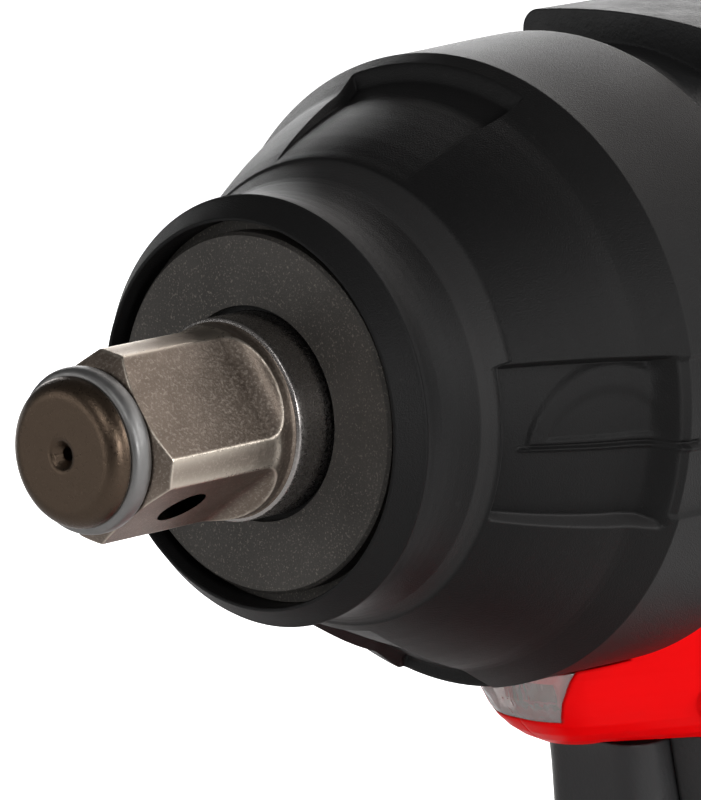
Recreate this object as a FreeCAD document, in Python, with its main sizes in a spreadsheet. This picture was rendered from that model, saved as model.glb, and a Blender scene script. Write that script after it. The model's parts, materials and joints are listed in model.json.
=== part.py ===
import FreeCAD, Part
import Sketcher
import math
import os
import re

# Cordless impact wrench with a square drive, battery pack and slide-in terminals.
# Frame: +X forward along the drive, +Y to the left of the tool, +Z up, origin in the
# middle of the battery's bottom face.  Turned parts are drawn in the tool frame, whose
# origin is the centre of the nose face, and are then moved to the drive axis.

os.makedirs("parts", exist_ok=True)
doc = FreeCAD.newDocument("ImpactWrench")
sheet = doc.addObject("Spreadsheet::Sheet", "Dims")

SIZES = {
    # where the drive axis is
    "axis_height": 235.0, "nose_front": 82.0,
    # square drive and anvil
    "drive_across_flats": 19.05, "drive_chamfer": 2.5, "drive_tip": 32.9, "pilot_radius": 9.04,
    "pin_hole_radius": 3.2, "pin_hole_from_nose": 18.5, "collar_radius": 12.4,
    "friction_groove_rear": 27.4, "friction_groove_front": 30.4, "friction_ring_radius": 10.0,
    "drive_roll": 36.4, "ear_radius": 25.0, "ear_length": 9.5, "anvil_face": 30.0,
    # hammer case and its boot
    "nose_radius": 22.05, "bush_radius": 16.0, "case_inner_radius": 28.2, "case_outer_radius": 32.4,
    "case_flange_radius": 36.9, "case_rear": 60.0, "boot_lip_radius": 23.5, "boot_ring_radius": 26.4,
    "boot_neck_radius": 28.0, "boot_rim_radius": 39.8, "boot_rear_radius": 40.3, "boot_rear": 57.0,
    "boot_skin": 2.6, "pocket_depth": 1.7,
    "screw_circle": 31.9, "case_screw_radius": 1.75, "case_head_radius": 2.9,
    # hammer mechanism
    "hammer_radius": 27.0, "hammer_front": 39.8, "hammer_rear": 64.0, "shaft_radius": 9.5,
    "cam_ball_radius": 2.8, "cam_angle": 40.0, "retract_travel": 9.0, "spring_wire": 1.5,
    "spring_radius": 17.0, "running_fit": 0.05, "nose_pilot_radius": 5.9,
    # planetary gears
    "gear_module": 1.0, "sun_teeth": 12, "planet_teeth": 18, "ring_teeth": 48, "backlash": 0.12,
    "gear_width": 8.0, "gear_front": 78.6, "carrier_radius": 22.0, "planet_pin_radius": 2.5,
    "gear_case_radius": 34.6, "gear_case_rear": 89.5, "plate_rear": 98.0,
    # motor
    "motor_shaft_radius": 4.0, "rotor_radius": 16.5, "stator_radius": 32.0, "stator_front": 110.0,
    "stator_length": 32.0, "fan_radius": 26.0, "fan_front": 152.0, "bearing_radius": 11.0,
    # housing
    "barrel_radius": 37.2, "housing_wall": 2.5, "housing_front": 57.4, "housing_rear": 160.0,
    "tool_rear": 183.0, "bumper_top": 41.5, "bumper_half_width": 16.5, "bumper_front": 68.3,
    "sleeve_depth": 1.3, "rubber_skin": 1.5, "chin_bottom": 51.2, "chin_front": 46.6,
    "chin_half_width": 9.0, "lens_height": 5.8, "lens_wall": 2.0,
    # handle, foot and trigger
    "grip_top": 183.8, "grip_bottom": 94.0, "foot_top": 90.0, "foot_bottom": 64.3,
    "foot_front": 30.0, "foot_back": 52.0, "foot_half_width": 36.0,
    "trigger_front": 20.4, "trigger_half_width": 8.5, "trigger_low": 154.0, "trigger_travel": 7.0,
    "lever_throw": 4.0,
    # battery pack
    "pack_half_length": 61.0, "pack_half_width": 37.5, "pack_height": 64.0, "pack_split": 40.0,
    "pack_wall": 2.5, "cell_radius": 10.5, "cell_length": 69.0, "cell_pitch": 21.5,
    "rail_half_width": 19.0, "rail_neck": 14.0, "rail_top": 75.0, "rail_step": 70.0,
    "rail_clearance": 0.3, "blade_thickness": 0.8, "latch_travel": 2.5,
}
for row, (name, number) in enumerate(SIZES.items(), start=1):
    sheet.set("A%d" % row, name)
    sheet.set("B%d" % row, str(number))
    sheet.setAlias("B%d" % row, name)
doc.recompute()

made = []


def ref(text):
    """An expression in plain size names, as the document spells it."""
    return re.sub(r"[a-z_]+", lambda m: "Dims." + m.group(0) if m.group(0) in SIZES else m.group(0),
                  str(text))


def val(text):
    """The number an expression gives now."""
    return float(sheet.evalExpression(ref(text)))


def bind(thing, **sizes):
    for prop, text in sizes.items():
        thing.setExpression(prop.replace("__", "."), ref(text))
    return thing


def at(thing, x="0", y="0", z="0"):
    return bind(thing, Placement__Base__x=x, Placement__Base__y=y, Placement__Base__z=z)


TURN = {"X": FreeCAD.Rotation(FreeCAD.Vector(0, 1, 0), 90),
        "Y": FreeCAD.Rotation(FreeCAD.Vector(1, 0, 0), -90),
        "Z": FreeCAD.Rotation()}


def new(kind, name):
    return doc.addObject(kind, name)


def rod(name, radius, length, x="0", y="0", z="0", along="X"):
    """A cylinder that starts at x, y, z and runs in the + direction of its axis."""
    thing = new("Part::Cylinder", name)
    thing.Placement = FreeCAD.Placement(FreeCAD.Vector(), TURN[along])
    bind(thing, Radius=radius, Height=length)
    return at(thing, x, y, z)


def block(name, x0, x1, y0, y1, z0, z1):
    thing = new("Part::Box", name)
    bind(thing, Length="(%s) - (%s)" % (x1, x0), Width="(%s) - (%s)" % (y1, y0),
         Height="(%s) - (%s)" % (z1, z0))
    return at(thing, x0, y0, z0)


def fuse(name, pieces):
    thing = new("Part::MultiFuse", name)
    thing.Shapes = pieces
    thing.Refine = True
    return thing


def group(name, pieces):
    thing = new("Part::Compound", name)
    thing.Links = pieces
    return thing


def cut(name, base, tools):
    thing = new("Part::Cut", name)
    thing.Base = base
    thing.Tool = tools[0] if len(tools) == 1 else fuse(name + "_tools", tools)
    thing.Refine = True
    return thing


def common(name, base, tool):
    thing = new("Part::Common", name)
    thing.Base = base
    thing.Tool = tool
    return thing


def solid(name, shape):
    thing = new("Part::Feature", name)
    thing.Shape = shape if shape.Placement.isIdentity() else Part.Compound([shape])
    return thing


def plane(body, role):
    return [f for f in body.Origin.OriginFeatures if f.Role == role][0]


def outline(body, name, points, plane_role):
    """A closed outline of straight lines; every corner is bound to its two expressions."""
    sketch = body.newObject("Sketcher::SketchObject", name)
    sketch.AttachmentSupport = [(plane(body, plane_role), "")]
    sketch.MapMode = "FlatFace"
    spots = [FreeCAD.Vector(val(a), val(b), 0) for a, b in points]
    count = len(points)
    for i in range(count):
        sketch.addGeometry(Part.LineSegment(spots[i], spots[(i + 1) % count]), False)
    for i in range(count):
        sketch.addConstraint(Sketcher.Constraint("Coincident", i, 2, (i + 1) % count, 1))
    for i, pair in enumerate(points):
        for kind, text, now in zip(("DistanceX", "DistanceY"), pair, (spots[i].x, spots[i].y)):
            if abs(now) < 1e-9:
                axis = -2 if kind == "DistanceX" else -1
                sketch.addConstraint(Sketcher.Constraint("PointOnObject", i, 1, axis))
                continue
            number = sketch.addConstraint(Sketcher.Constraint(kind, -1, 1, i, 1, now))
            sketch.setExpression("Constraints[%d]" % number, ref(text))
    return sketch


def turned(name, points, angle=360.0, first=90.0):
    """A body turned about the X axis from (forward, radius) points, from this polar angle."""
    body = new("PartDesign::Body", name)
    sketch = outline(body, name + "_outline", points, "XZ_Plane")
    spin = body.newObject("PartDesign::Revolution", name + "_turned")
    spin.Profile = sketch
    spin.ReferenceAxis = (plane(body, "X_Axis"), [""])
    spin.Angle = angle
    if first != 90.0:
        body.Placement = FreeCAD.Placement(FreeCAD.Vector(),
                                           FreeCAD.Rotation(FreeCAD.Vector(1, 0, 0), first - 90.0))
    return body


def padded(name, points, thickness, plane_role="XZ_Plane", both=True):
    """A body padded from an outline, equally to both sides of its plane."""
    body = new("PartDesign::Body", name)
    sketch = outline(body, name + "_outline", points, plane_role)
    pad = body.newObject("PartDesign::Pad", name + "_pad")
    pad.Profile = sketch
    pad.Midplane = both
    bind(pad, Length=thickness)
    return body


def tube(name, outer, inner, front, rear):
    """A plain ring: front and rear are distances behind the nose face."""
    return turned(name, [("-(%s)" % front, inner), ("-(%s)" % front, outer),
                         ("-(%s)" % rear, outer), ("-(%s)" % rear, inner)])


def ring_of(count, first=0.0):
    """Angles of equally spaced pieces about the drive axis, in degrees."""
    return [first + 360.0 * i / count for i in range(count)]


def polar(radius, angle):
    """Expressions for the Y and Z of a point at this radius and angle."""
    turn = math.radians(angle)
    return ("(%s) * %.9f" % (radius, math.cos(turn)), "(%s) * %.9f" % (radius, math.sin(turn)))


def finish(thing, label, on_axis=True):
    """Name the finished piece, put it on the drive axis if it was drawn there, and list it."""
    thing.Label = label
    if on_axis:
        at(thing, "nose_front", "0", "axis_height")
    made.append(thing)
    return thing


# ---------------------------------------------------------------- anvil and its small parts
def lay(cutter, angle):
    """Lay a cutter drawn as (depth, side, forward) onto the drive at this angle."""
    c, s = math.cos(math.radians(angle)), math.sin(math.radians(angle))
    cutter.Placement = FreeCAD.Placement(FreeCAD.Matrix(0, 0, 1, 0, c, -s, 0, 0, s, c, 0, 0, 0, 0, 0, 1))


def anvil():
    flat = "drive_across_flats / 2"
    corner = "%.9f" % math.hypot(val(flat), val(flat + " - drive_chamfer"))
    blank = turned("anvil_blank", [
        ("drive_tip", "0"), ("drive_tip", "pilot_radius - 2.6"), ("drive_tip - 0.35", "pilot_radius - 1.4"),
        ("drive_tip - 1.2", "pilot_radius - 0.4"), ("drive_tip - 2.3", "pilot_radius"),
        ("friction_groove_front", "pilot_radius"),
        ("friction_groove_front", "pilot_radius - 2"), ("friction_groove_rear", "pilot_radius - 2"),
        ("friction_groove_rear", "friction_ring_radius - 0.05"), ("friction_groove_rear - 1.2", corner),
        ("7", corner), ("6.4", "11.7"), ("5.6", "11.7"), ("5.2", "collar_radius"),
        ("-(anvil_face - 1)", "collar_radius"), ("-(anvil_face - 1)", "14"), ("-anvil_face - ear_length", "14"),
        ("-anvil_face - ear_length", "0")])
    tools = []
    for number, angle in enumerate(ring_of(4, val("drive_roll"))):
        slab = block("flat_%d" % number, flat, flat + " + 12", "-14", "14", "9.7", "40")
        scoop = rod("scoop_%d" % number, "3.2", "28", flat + " + 3.2", "-14", "9.7", "Y")
        cutter = fuse("flat_cutter_%d" % number, [slab, scoop])
        lay(cutter, angle)
        depth = "(drive_across_flats - drive_chamfer) * %.9f" % math.sqrt(0.5)
        shave = group("shave_%d" % number, [block("shave_box_%d" % number, depth, depth + " + 6", "-6", "6",
                                                  "9.0", "40")])
        lay(shave, angle + 45)
        tools += [cutter, shave]
    hole = rod("pin_hole", "pin_hole_radius", "40", along="Z")
    turn = math.radians(val("drive_roll") - 90)
    hole.Placement = FreeCAD.Placement(FreeCAD.Vector(0, 0, 0), FreeCAD.Rotation(
        FreeCAD.Vector(0, 0, 1), FreeCAD.Vector(0, math.cos(turn), math.sin(turn))))
    at(hole, "pin_hole_from_nose", "-20 * %.9f" % math.cos(turn), "-20 * %.9f" % math.sin(turn))
    tools.append(hole)
    tools.append(turned("lathe_centre", [("drive_tip + 1", "0"), ("drive_tip + 1", "1.75"),
                                         ("drive_tip - 0.4", "1.7"), ("drive_tip - 1.6", "0.8"),
                                         ("drive_tip - 4", "0.8"), ("drive_tip - 4.4", "0")]))
    tools.append(rod("rear_bore", "nose_pilot_radius + running_fit", "16", "-(anvil_face + ear_length + 1)"))
    shaped = cut("anvil_shaped", blank, tools)
    ears = []
    for number, angle in enumerate((0, 180)):
        ear = turned("ear_%d" % number, [("-anvil_face", "12"), ("-anvil_face", "ear_radius"),
                                         ("-(anvil_face + ear_length)", "ear_radius"),
                                         ("-(anvil_face + ear_length)", "12")], 50.0, angle)
        ears.append(ear)
    flange = tube("anvil_flange", "17.5", "12", "anvil_face", "anvil_face + 2.5")
    return finish(fuse("anvil_all", [shaped, flange] + ears), "anvil")


anvil()

gap = turned("ring_cut", [("friction_groove_rear - 1", "6"), ("friction_groove_rear - 1", "12"),
                          ("friction_groove_front + 1", "12"), ("friction_groove_front + 1", "6")], 14.0, 225.0)
whole_ring = turned("friction_ring_whole", [
    ("friction_groove_rear + 0.03", "pilot_radius - 1.1"),
    ("friction_groove_rear + 0.03", "friction_ring_radius - 0.5"),
    ("friction_groove_rear + 0.35", "friction_ring_radius - 0.12"),
    ("friction_groove_rear + 0.9", "friction_ring_radius"),
    ("friction_groove_front - 0.9", "friction_ring_radius"),
    ("friction_groove_front - 0.35", "friction_ring_radius - 0.12"),
    ("friction_groove_front - 0.03", "friction_ring_radius - 0.5"),
    ("friction_groove_front - 0.03", "pilot_radius - 1.1")])
finish(cut("friction_ring_cut", whole_ring, [gap]), "friction_ring")
finish(tube("o_ring", "pilot_radius - 1.1", "pilot_radius - 2", "-(friction_groove_front - 0.5)",
            "-(friction_groove_rear + 0.5)"), "friction_ring_backing_ring")
finish(tube("nose_seal_body", "14.3", "collar_radius + running_fit", "1.2", "3"), "nose_seal")
finish(tube("bushing_body", "bush_radius", "collar_radius + running_fit", "3", "anvil_face - 1"),
       "anvil_bushing")
finish(tube("thrust_washer_body", "20", "collar_radius + 1.8", "anvil_face - 1", "anvil_face - 0.05"),
       "anvil_thrust_washer")


# ---------------------------------------------------------------- hammer case and boot
CASE_SKIN = [("-3", "boot_lip_radius"), ("-12", "boot_neck_radius - boot_skin - 0.8"),
             ("-30", "36.4 - boot_skin - 1.2"), ("-35.5", "boot_rim_radius - boot_skin - 2.4"),
             ("-40", "boot_rim_radius - boot_skin - 2.4"), ("-40", "case_outer_radius"),
             ("-49.5", "case_outer_radius"), ("-49.5", "case_flange_radius"),
             ("-boot_rear", "case_flange_radius")]
case = turned("case_turned", [("0", "13.2"), ("0", "nose_radius - 0.4"), ("-0.4", "nose_radius"),
                              ("-3", "nose_radius")] + CASE_SKIN +
              [("-boot_rear", "gear_case_radius"), ("-case_rear", "gear_case_radius"),
               ("-case_rear", "case_inner_radius"), ("-36.5", "case_inner_radius"), ("-29", "26.2"),
               ("-29", "20.2"), ("-(anvil_face - 1)", "bush_radius"), ("-3", "bush_radius"),
               ("-3", "14.3"), ("-1.2", "14.3"), ("-1.2", "13.2")])
case_tools = []
for number, angle in enumerate(ring_of(4, 45.0)):
    y, z = polar("screw_circle", angle)
    case_tools.append(rod("case_hole_%d" % number, "case_screw_radius + 0.15", "14", "-case_rear - 1", y, z))
    case_tools.append(rod("case_seat_%d" % number, "case_head_radius + 0.15", "8.5", "-50.5", y, z))
finish(cut("case_drilled", case, case_tools), "hammer_case")

BOOT_OUT = [("1.15", "boot_lip_radius"), ("1.15", "boot_lip_radius + 0.35"), ("-1.2", "boot_ring_radius - 0.35"),
            ("-1.8", "boot_ring_radius"), ("-3.2", "boot_ring_radius - 0.25"), ("-5", "boot_ring_radius - 0.55"),
            ("-8", "boot_ring_radius - 0.2"), ("-11.1", "26.8"), ("-12.2", "27.3"), ("-13", "boot_neck_radius"),
            ("-17.2", "30.6"), ("-21.4", "32.9"), ("-25.6", "34.9"), ("-29.8", "36.5"), ("-32.5", "38.3"),
            ("-34.4", "boot_rim_radius - 0.4"), ("-35", "boot_rim_radius"), ("-36", "boot_rim_radius + 0.15"),
            ("-boot_rear + 0.8", "boot_rear_radius"), ("-boot_rear", "boot_rear_radius - 0.7")]
boot = turned("boot_turned", BOOT_OUT + list(reversed([("1.15 - 0.01", "boot_lip_radius")] + CASE_SKIN))[:-1]
              + [("0.5", "boot_lip_radius")])
boot_tools = []


def dome_pocket(name, first, last, front, back):
    """A sunk panel in the cone of the boot between two angles."""
    floor = [("-13.2", "boot_neck_radius"), ("-17.2", "30.6"), ("-21.4", "32.9"), ("-25.6", "34.9"),
             ("-29.8", "36.5"), ("-35", "boot_rim_radius")]
    line = [(a, b) for a, b in floor if front <= -val(a) <= back]
    inner = [(a, "(%s) - pocket_depth" % b) for a, b in line]
    outer = [(a, "(%s) + 4" % b) for a, b in reversed(line)]
    return turned(name, inner + outer, last - first, first)


boot_tools.append(dome_pocket("pocket_left", -21.0, 13.0, 13.0, 30.0))
boot_tools.append(dome_pocket("pocket_right", 167.0, 201.0, 13.0, 30.0))
boot_tools.append(dome_pocket("pocket_top", 69.0, 111.0, 17.0, 30.0))
boot_tools.append(dome_pocket("pocket_low", 259.0, 281.0, 17.0, 35.5))
for number, angle in enumerate(ring_of(4, 45.0)):
    y, z = polar("screw_circle", angle)
    boot_tools.append(rod("boot_seat_%d" % number, "case_head_radius + 0.15", "8.5", "-50.5", y, z))
finish(cut("boot_pocketed", boot, boot_tools), "hammer_case_boot")

screws = []
for number, angle in enumerate(ring_of(4, 45.0)):
    y, z = polar("screw_circle", angle)
    head = rod("case_head_%d" % number, "case_head_radius", "3.6", "-50.5", y, z)
    key = new("Part::Prism", "case_key_%d" % number)
    key.Placement = FreeCAD.Placement(FreeCAD.Vector(), TURN["X"])
    key.Polygon = 6
    bind(key, Circumradius="1.6", Height="3")
    at(key, "-48.9", y, z)
    shank = rod("case_shank_%d" % number, "case_screw_radius", "26", "-76.5", y, z)
    screws.append(cut("case_screw_%d" % number, fuse("case_rod_%d" % number, [head, shank]), [key]))
finish(group("case_screws", screws), "hammer_case_screws")


# ---------------------------------------------------------------- hammer, cam, spindle
def helix_groove(name, radius, ball, start, hand, extra=0.0):
    """The track a ball leaves on a shaft: it runs back by the travel while it turns."""
    travel = val("retract_travel") + extra
    angle = math.radians(val("cam_angle")) * travel / val("retract_travel")
    steps = 15
    pieces = []
    for i in range(steps + 1):
        part = i / steps
        turn = start + hand * angle * part
        pieces.append(Part.makeSphere(ball, FreeCAD.Vector(-travel * part, radius * math.cos(turn),
                                                           radius * math.sin(turn))))
    for i in range(steps):
        a = FreeCAD.Vector(*[getattr(pieces[i].BoundBox.Center, k) for k in "xyz"])
        b = FreeCAD.Vector(*[getattr(pieces[i + 1].BoundBox.Center, k) for k in "xyz"])
        pieces.append(Part.makeCylinder(ball, (b - a).Length, a, b - a))
    return solid(name, pieces[0].multiFuse(pieces[1:]))


BALL_FROM_NOSE = 54.0
hammer = turned("hammer_turned", [
    ("-hammer_front", "shaft_radius + 0.09"), ("-hammer_front", "hammer_radius - 1"),
    ("-hammer_front - 1", "hammer_radius"), ("-hammer_rear + 1", "hammer_radius"),
    ("-hammer_rear", "hammer_radius - 1"), ("-hammer_rear", "21.5"), ("-52", "21.5"), ("-52", "13"),
    ("-hammer_rear", "13"), ("-hammer_rear", "shaft_radius + 0.09")])
lugs = []
for number, angle in enumerate((90.0, 270.0)):
    lug = turned("lug_%d" % number, [("-anvil_face - 2.8", "15"), ("-anvil_face - 2.8", "hammer_radius - 1.6"),
                                     ("-hammer_front - 2", "hammer_radius - 1.6"), ("-hammer_front - 2", "15")],
                 48.0, angle + 41.0)
    lugs.append(lug)
seat_depth = "(shaft_radius + cam_ball_radius + 0.05)"
seats = [rod("ball_seats", "cam_ball_radius + 0.03", "2 * " + seat_depth, "-%s" % BALL_FROM_NOSE,
             "-" + seat_depth, "0", "Y")]
recess = rod("hammer_recess", "16", "3", "-hammer_front - 2.4")
hammer_body = cut("hammer_seated", fuse("hammer_blank", [hammer] + lugs), seats + [recess])
finish(hammer_body, "hammer")

balls = []
for number, sign in enumerate((1, -1)):
    ball = new("Part::Sphere", "cam_ball_%d" % number)
    bind(ball, Radius="cam_ball_radius")
    balls.append(at(ball, "-%s" % BALL_FROM_NOSE, "shaft_radius * %d" % sign, "0"))
finish(group("cam_ball_pair", balls), "cam_balls")

thrust = []
for number, angle in enumerate(ring_of(18)):
    y, z = polar("spring_radius + 0.3", angle)
    ball = new("Part::Sphere", "thrust_ball_%d" % number)
    bind(ball, Radius="1.5")
    thrust.append(at(ball, "-53.5", y, z))
finish(group("thrust_set", thrust + [tube("spring_washer_body", "21.2", "13.3", "55", "56.5")]),
       "spring_thrust_bearing")

spindle_blank = turned("spindle_turned", [
    ("-anvil_face + 4", "0"), ("-anvil_face + 4", "nose_pilot_radius - 0.6"),
    ("-anvil_face + 3.4", "nose_pilot_radius"), ("-anvil_face - ear_length - 0.6", "nose_pilot_radius"),
    ("-anvil_face - ear_length - 0.6", "shaft_radius"), ("-74.6", "shaft_radius"), ("-74.6", "12.6"),
    ("-75.6", "carrier_radius"), ("-gear_front + 0.3", "carrier_radius"), ("-gear_front + 0.3", "0")])
carrier_rear = tube("carrier_rear", "carrier_radius", "7.6", "gear_front + gear_width + 0.3",
                    "gear_case_rear - 0.5")
journal = tube("spindle_journal", "11", "7.6", "gear_case_rear - 0.6", "95.4")
bridges = []
for number, angle in enumerate(ring_of(3, 30.0)):
    y, z = polar("18", angle)
    bridges.append(rod("bridge_%d" % number, "3.8", "gear_width + 1", "-gear_front - gear_width - 0.5", y, z))
pin_holes = []
for number, angle in enumerate(ring_of(3, 90.0)):
    y, z = polar("gear_module * (sun_teeth + planet_teeth) / 2", angle)
    pin_holes.append(rod("pin_bore_%d" % number, "planet_pin_radius", "16", "-gear_case_rear - 1", y, z))
tracks = []
for number, start in enumerate((0.0, math.pi)):
    for hand in (1, -1):
        track = helix_groove("track_%d_%d" % (number, hand), val("shaft_radius"),
                             val("cam_ball_radius") + 0.09, start, hand, 0.4)
        track.Placement = FreeCAD.Placement(FreeCAD.Vector(-BALL_FROM_NOSE, 0, 0), FreeCAD.Rotation())
        tracks.append(track)
sun_room = rod("sun_room", "7.6", "20", "-gear_case_rear - 6")
sun_room.setExpression("Height", ref("gear_width + 7.2"))
spindle = cut("spindle_cut", fuse("spindle_blank", [spindle_blank, carrier_rear, journal] + bridges),
              pin_holes + tracks)
finish(spindle, "spindle")

wire, coil = val("spring_wire"), val("spring_radius")
front, rear = 56.5 + wire, 74.6 - wire
turns = 4.5
spring_path = Part.makeHelix((rear - front) / turns, rear - front, coil)
spring_ring = Part.Wire(Part.makeCircle(wire, FreeCAD.Vector(coil, 0, 0), FreeCAD.Vector(0, 1, 0)))
spring_shape = Part.Wire(spring_path).makePipeShell([spring_ring], True, True)
spring_shape.rotate(FreeCAD.Vector(), FreeCAD.Vector(0, 1, 0), -90)
spring_shape.translate(FreeCAD.Vector(-front, 0, 0))
finish(solid("hammer_spring_coil", spring_shape), "hammer_spring")


# ---------------------------------------------------------------- planetary gears
def gear_outline(teeth, tip, root, half_gap, turn):
    """Points round an involute gear of this many teeth; half_gap thins each flank."""
    pitch = val("gear_module") * teeth / 2
    base = pitch * math.cos(math.radians(20))
    spread = math.tan(math.radians(20)) - math.radians(20)

    def half_angle(radius):
        lean = math.acos(min(1.0, base / radius))
        return math.pi / 2 / teeth - half_gap / pitch + spread - (math.tan(lean) - lean)

    low = max(base, root)
    radii = [root] + ([low] if low > root + 0.05 else []) + [low + (tip - low) * k / 3 for k in (1, 2, 3)]
    points = []
    for tooth in range(teeth):
        middle = turn + 2 * math.pi * tooth / teeth
        flank = [(r, half_angle(max(r, low)) + (0.012 if r < low else 0)) for r in radii]
        points += [(r, middle - a) for r, a in flank] + [(r, middle + a) for r, a in reversed(flank)]
    return [FreeCAD.Vector(0, r * math.cos(a), r * math.sin(a)) for r, a in points]


def gear_solid(points, width):
    face = Part.Face(Part.makePolygon(points + points[:1]))
    return face.extrude(FreeCAD.Vector(-width, 0, 0))


module, slack, width = val("gear_module"), val("backlash") / 4, val("gear_width")
sun_pitch, planet_pitch, ring_pitch = (module * val(n) / 2 for n in ("sun_teeth", "planet_teeth", "ring_teeth"))
sun = gear_solid(gear_outline(int(val("sun_teeth")), sun_pitch + 0.85 * module, sun_pitch - 1.2 * module, slack,
                              math.pi / 2), width + 1.5)
sun.translate(FreeCAD.Vector(-val("gear_front"), 0, 0))
for number, angle in enumerate(ring_of(3, 90.0)):
    turn = math.radians(angle)
    teeth = int(val("planet_teeth"))
    gear = gear_solid(gear_outline(teeth, planet_pitch + 0.8 * module, planet_pitch - 1.2 * module, slack,
                                   turn + math.pi / teeth), width)
    gear = gear.cut(Part.makeCylinder(val("planet_pin_radius + running_fit"), width, FreeCAD.Vector(),
                                      FreeCAD.Vector(-1, 0, 0)))
    piece = solid("planet_gear_shape_%d" % (number + 1), gear)
    piece.Label = "planet_gear_%d" % (number + 1)
    y, z = polar("gear_module * (sun_teeth + planet_teeth) / 2", angle)
    at(piece, "nose_front - gear_front", y, "axis_height + " + z)
    made.append(piece)
space = gear_solid(gear_outline(int(val("ring_teeth")), ring_pitch + 1.2 * module, ring_pitch - 0.8 * module,
                                -slack, math.pi / int(val("ring_teeth"))), 14)
space.translate(FreeCAD.Vector(-val("gear_front") + 3, 0, 0))
ring_blank = tube("ring_gear_blank", "29.6", "22.6", "gear_front - 1", "gear_case_rear")
finish(cut("ring_gear_cut", ring_blank, [solid("ring_spaces", space)]), "ring_gear")
pins = []
for number, angle in enumerate(ring_of(3, 90.0)):
    y, z = polar("gear_module * (sun_teeth + planet_teeth) / 2", angle)
    pins.append(rod("planet_pin_%d" % number, "planet_pin_radius", "gear_case_rear - 0.6 - 75.8",
                    "-gear_case_rear + 0.6", y, z))
finish(group("planet_pin_set", pins), "planet_pins")

# the gear case holds the ring gear and takes the four case screws
gear_case = turned("gear_case_turned", [
    ("-case_rear", "case_inner_radius"), ("-case_rear", "gear_case_radius"),
    ("-gear_case_rear", "gear_case_radius"), ("-gear_case_rear", "29.6"), ("-gear_front + 1", "29.6"),
    ("-gear_front + 1", "case_inner_radius")])
bores = []
for number, angle in enumerate(ring_of(4, 45.0)):
    y, z = polar("screw_circle", angle)
    bores.append(rod("gear_case_bore_%d" % number, "case_screw_radius", "17", "-77", y, z))
finish(cut("gear_case_bored", gear_case, bores), "gear_case")
finish(turned("gear_case_plate_turned", [
    ("-gear_case_rear", "17"), ("-gear_case_rear", "gear_case_radius"), ("-plate_rear", "gear_case_radius"),
    ("-plate_rear", "14"), ("-106", "14"), ("-106", "bearing_radius"), ("-98.6", "bearing_radius"),
    ("-98.6", "7"), ("-95.6", "7"), ("-95.6", "17")]), "gear_case_plate")


# ---------------------------------------------------------------- bearings
def bearing(name, label, outer, bore, front, rear, count):
    """A ball bearing: two races and its balls, each its own solid."""
    mid = "((%s) + (%s)) / 2" % (outer, bore)
    ball = (val(outer) - val(bore)) * 0.26
    middle = "-((%s) + (%s)) / 2" % (front, rear)
    outer_race = turned(name + "_outer", [
        ("-(%s)" % front, mid + " + %.4f" % (ball * 0.55)), ("-(%s)" % front, outer), ("-(%s)" % rear, outer),
        ("-(%s)" % rear, mid + " + %.4f" % (ball * 0.55)), (middle + " - 0.3", mid + " + %.4f" % ball),
        (middle + " + 0.3", mid + " + %.4f" % ball)])
    inner_race = turned(name + "_inner", [
        ("-(%s)" % front, bore), ("-(%s)" % front, mid + " - %.4f" % (ball * 0.55)),
        (middle + " + 0.3", mid + " - %.4f" % ball), (middle + " - 0.3", mid + " - %.4f" % ball),
        ("-(%s)" % rear, mid + " - %.4f" % (ball * 0.55)), ("-(%s)" % rear, bore)])
    pieces = [outer_race, inner_race]
    for number, angle in enumerate(ring_of(count)):
        y, z = polar(mid, angle)
        roller = new("Part::Sphere", "%s_ball_%d" % (name, number))
        bind(roller, Radius="%.4f" % (ball * 0.98))
        pieces.append(at(roller, middle, y, z))
    return finish(group(name, pieces), label)


bearing("spindle_brg", "spindle_bearing", "17", "11 + running_fit", "gear_case_rear + 0.1", "95.5", 12)
bearing("front_brg", "rotor_front_bearing", "bearing_radius", "motor_shaft_radius + running_fit / 2", "98.7",
        "105.7", 7)
bearing("rear_brg", "rotor_rear_bearing", "9.5", "motor_shaft_radius + running_fit / 2", "164.1", "170", 7)


# ---------------------------------------------------------------- motor
shaft = turned("rotor_shaft_turned", [
    ("-gear_front - 1", "0"), ("-gear_front - 1", "motor_shaft_radius"), ("-98.4", "motor_shaft_radius"),
    ("-98.4", "5.2"), ("-98.65", "5.2"), ("-98.65", "motor_shaft_radius"),
    ("-171.5", "motor_shaft_radius"), ("-171.5", "0")])
finish(fuse("rotor_shaft_geared", [shaft, solid("sun_teeth_shape", sun)]), "rotor_shaft")
finish(tube("rotor_core_body", "rotor_radius - 2.6", "motor_shaft_radius", "stator_front",
            "stator_front + stator_length"), "rotor_core")
magnets = [turned("magnet_%d" % n, [
    ("-stator_front - 0.5", "rotor_radius - 2.57"), ("-stator_front - 0.5", "rotor_radius"),
    ("-stator_front - stator_length + 0.5", "rotor_radius"),
    ("-stator_front - stator_length + 0.5", "rotor_radius - 2.57")], 80.0, a) for n, a in enumerate(ring_of(4, 5))]
finish(group("magnet_set", magnets), "rotor_magnets")

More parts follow.
